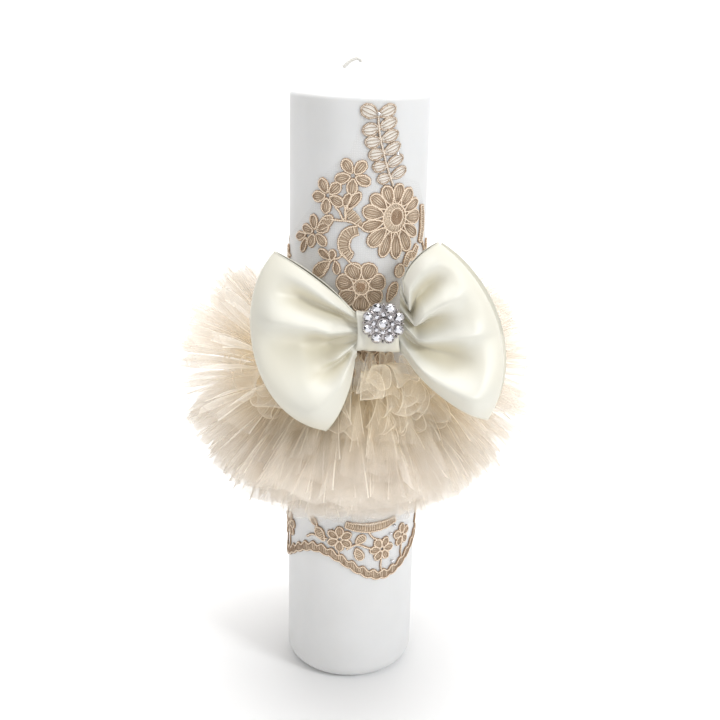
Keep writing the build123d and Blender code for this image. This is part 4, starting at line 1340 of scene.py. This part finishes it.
# ------------------------------------------------------------------ wick
def wick():
    """Braided wick: plain inside the wax, three strands where it shows."""
    build = Build()
    low, high = node_box("wick")
    radius = high[0]
    bend = high[2] - radius
    core = candle_high[2] - 8
    build.add(*tube([(0, 0, low[2]), (0, 0, core)], radius, 12))
    low_tip = candle_high[2] - 15.0 / candle_radius * -low[0] + radius + 0.3
    line = smooth_line([(0, 0, core - 1), (0, 0, bend - 2.2), (-0.6, 0, bend - 0.6), (-2.2, 0, bend - 0.1),
                        (-5.0, 0, bend - 1.2), (low[0] + 0.4, 0, low_tip)], 60)
    along = along_line(line)
    tangent = np.gradient(line, axis=0)
    tangent /= np.linalg.norm(tangent, axis=1)[:, None]
    side = np.array([0.0, 1.0, 0.0]) * np.ones((len(line), 1))
    other = np.cross(tangent, side)
    for k in range(3):
        turn = 2 * math.pi * (along / 4.5 + k / 3)
        strand = line + 0.42 * radius * (np.cos(turn)[:, None] * side + np.sin(turn)[:, None] * other)
        build.add(*tube(strand, 0.52 * radius, 8))
    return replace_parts(build.piece("wick_braid", [COTTON]), "wick")


# ------------------------------------------------------------------ put it together
def repaint(node, new):
    """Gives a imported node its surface."""
    mesh = bpy.data.objects[node].data
    mesh.materials.clear()
    mesh.materials.append(new)


for number in range(1, LAYERS + 1):
    tulle_layer(number)
rosette()
gathering_thread()
bow_loops()
knot_band()
pinch_thread()
glue_pad()
brooch()
wick()
for node, new in (("candle_body", WAX), ("wick_sustainer", TIN), ("lace_pins", STEEL),
                  ("brooch_shank", SILVER)):
    repaint(node, new)


# ------------------------------------------------------------------ floor, light and camera
def studio():
    m, tree, shader = material("floor")
    tone = noise(tree, 3.0, 2.0)
    tree.links.new(ramp(tree, tone, [(0.3, (0.92, 0.92, 0.92)), (0.7, (0.94, 0.94, 0.94))]),
                   shader.inputs["Base Color"])
    shader.inputs["Roughness"].default_value = 0.9
    half_width, near, far, bend, top = 6.0, -4.0, 1.0, 0.6, 2.6
    line = [(near, 0.0), (far, 0.0)]
    rising = np.linspace(0.05, math.pi / 2, 24)
    line += [(far + bend * math.sin(a), bend * (1 - math.cos(a))) for a in rising]
    line.append((far + bend, top))
    verts = [(x, y, z) for y, z in line for x in (-half_width, half_width)]
    mesh = bpy.data.meshes.new("floor")
    mesh.from_pydata(verts, [], [(2 * i, 2 * i + 1, 2 * i + 3, 2 * i + 2) for i in range(len(line) - 1)])
    mesh.polygons.foreach_set("use_smooth", [True] * len(mesh.polygons))
    mesh.materials.append(m)
    floor = bpy.data.objects.new("floor", mesh)
    bpy.context.scene.collection.objects.link(floor)

    world = bpy.data.worlds.new("studio")
    bpy.context.scene.world = world
    world.use_nodes = True
    world.node_tree.nodes["Background"].inputs["Color"].default_value = (1.0, 1.0, 1.0, 1.0)
    world.node_tree.nodes["Background"].inputs["Strength"].default_value = 0.46
    for name, place, aim, size, power, colour in (
        ("key", (1.0, -0.75, 0.85), (0, 0, 0.17), 0.4, 7.9, (0.95, 0.975, 1.0)),
        ("fill", (-0.5, -1.3, 0.4), (0, 0, 0.17), 0.6, 2.3, (1.0, 0.985, 0.96)),
        ("top", (0.0, 0.1, 1.7), (0, 0, 0), 1.8, 16.5, (1.0, 1.0, 1.0)),
        ("backdrop", (0.0, 0.3, 1.4), (0, 1.6, 0.5), 1.4, 14.0, (1.0, 1.0, 1.0)),
    ):
        data = bpy.data.lights.new(name, "AREA")
        data.shape = "DISK"
        data.size = size
        data.energy = power
        data.color = colour
        light = bpy.data.objects.new(name, data)
        light.location = place
        light.rotation_euler = (Vector(aim) - Vector(place)).to_track_quat("-Z", "Y").to_euler()
        bpy.context.scene.collection.objects.link(light)

    data = bpy.data.cameras.new("camera")
    data.lens = 53.56
    data.sensor_width = 36.0
    camera = bpy.data.objects.new("camera", data)
    turn = Matrix.Rotation(math.radians(72.30), 4, "X") @ Matrix.Rotation(math.radians(1.31), 4, "Z")
    camera.matrix_world = Matrix.Translation(Vector((2.8, -546.5, 350.0)) * MM) @ turn
    bpy.context.scene.collection.objects.link(camera)
    bpy.context.scene.camera = camera
    scene = bpy.context.scene
    scene.view_settings.view_transform = "Standard"
    scene.cycles.transparent_max_bounces = 48
    scene.cycles.max_bounces = 10


studio()
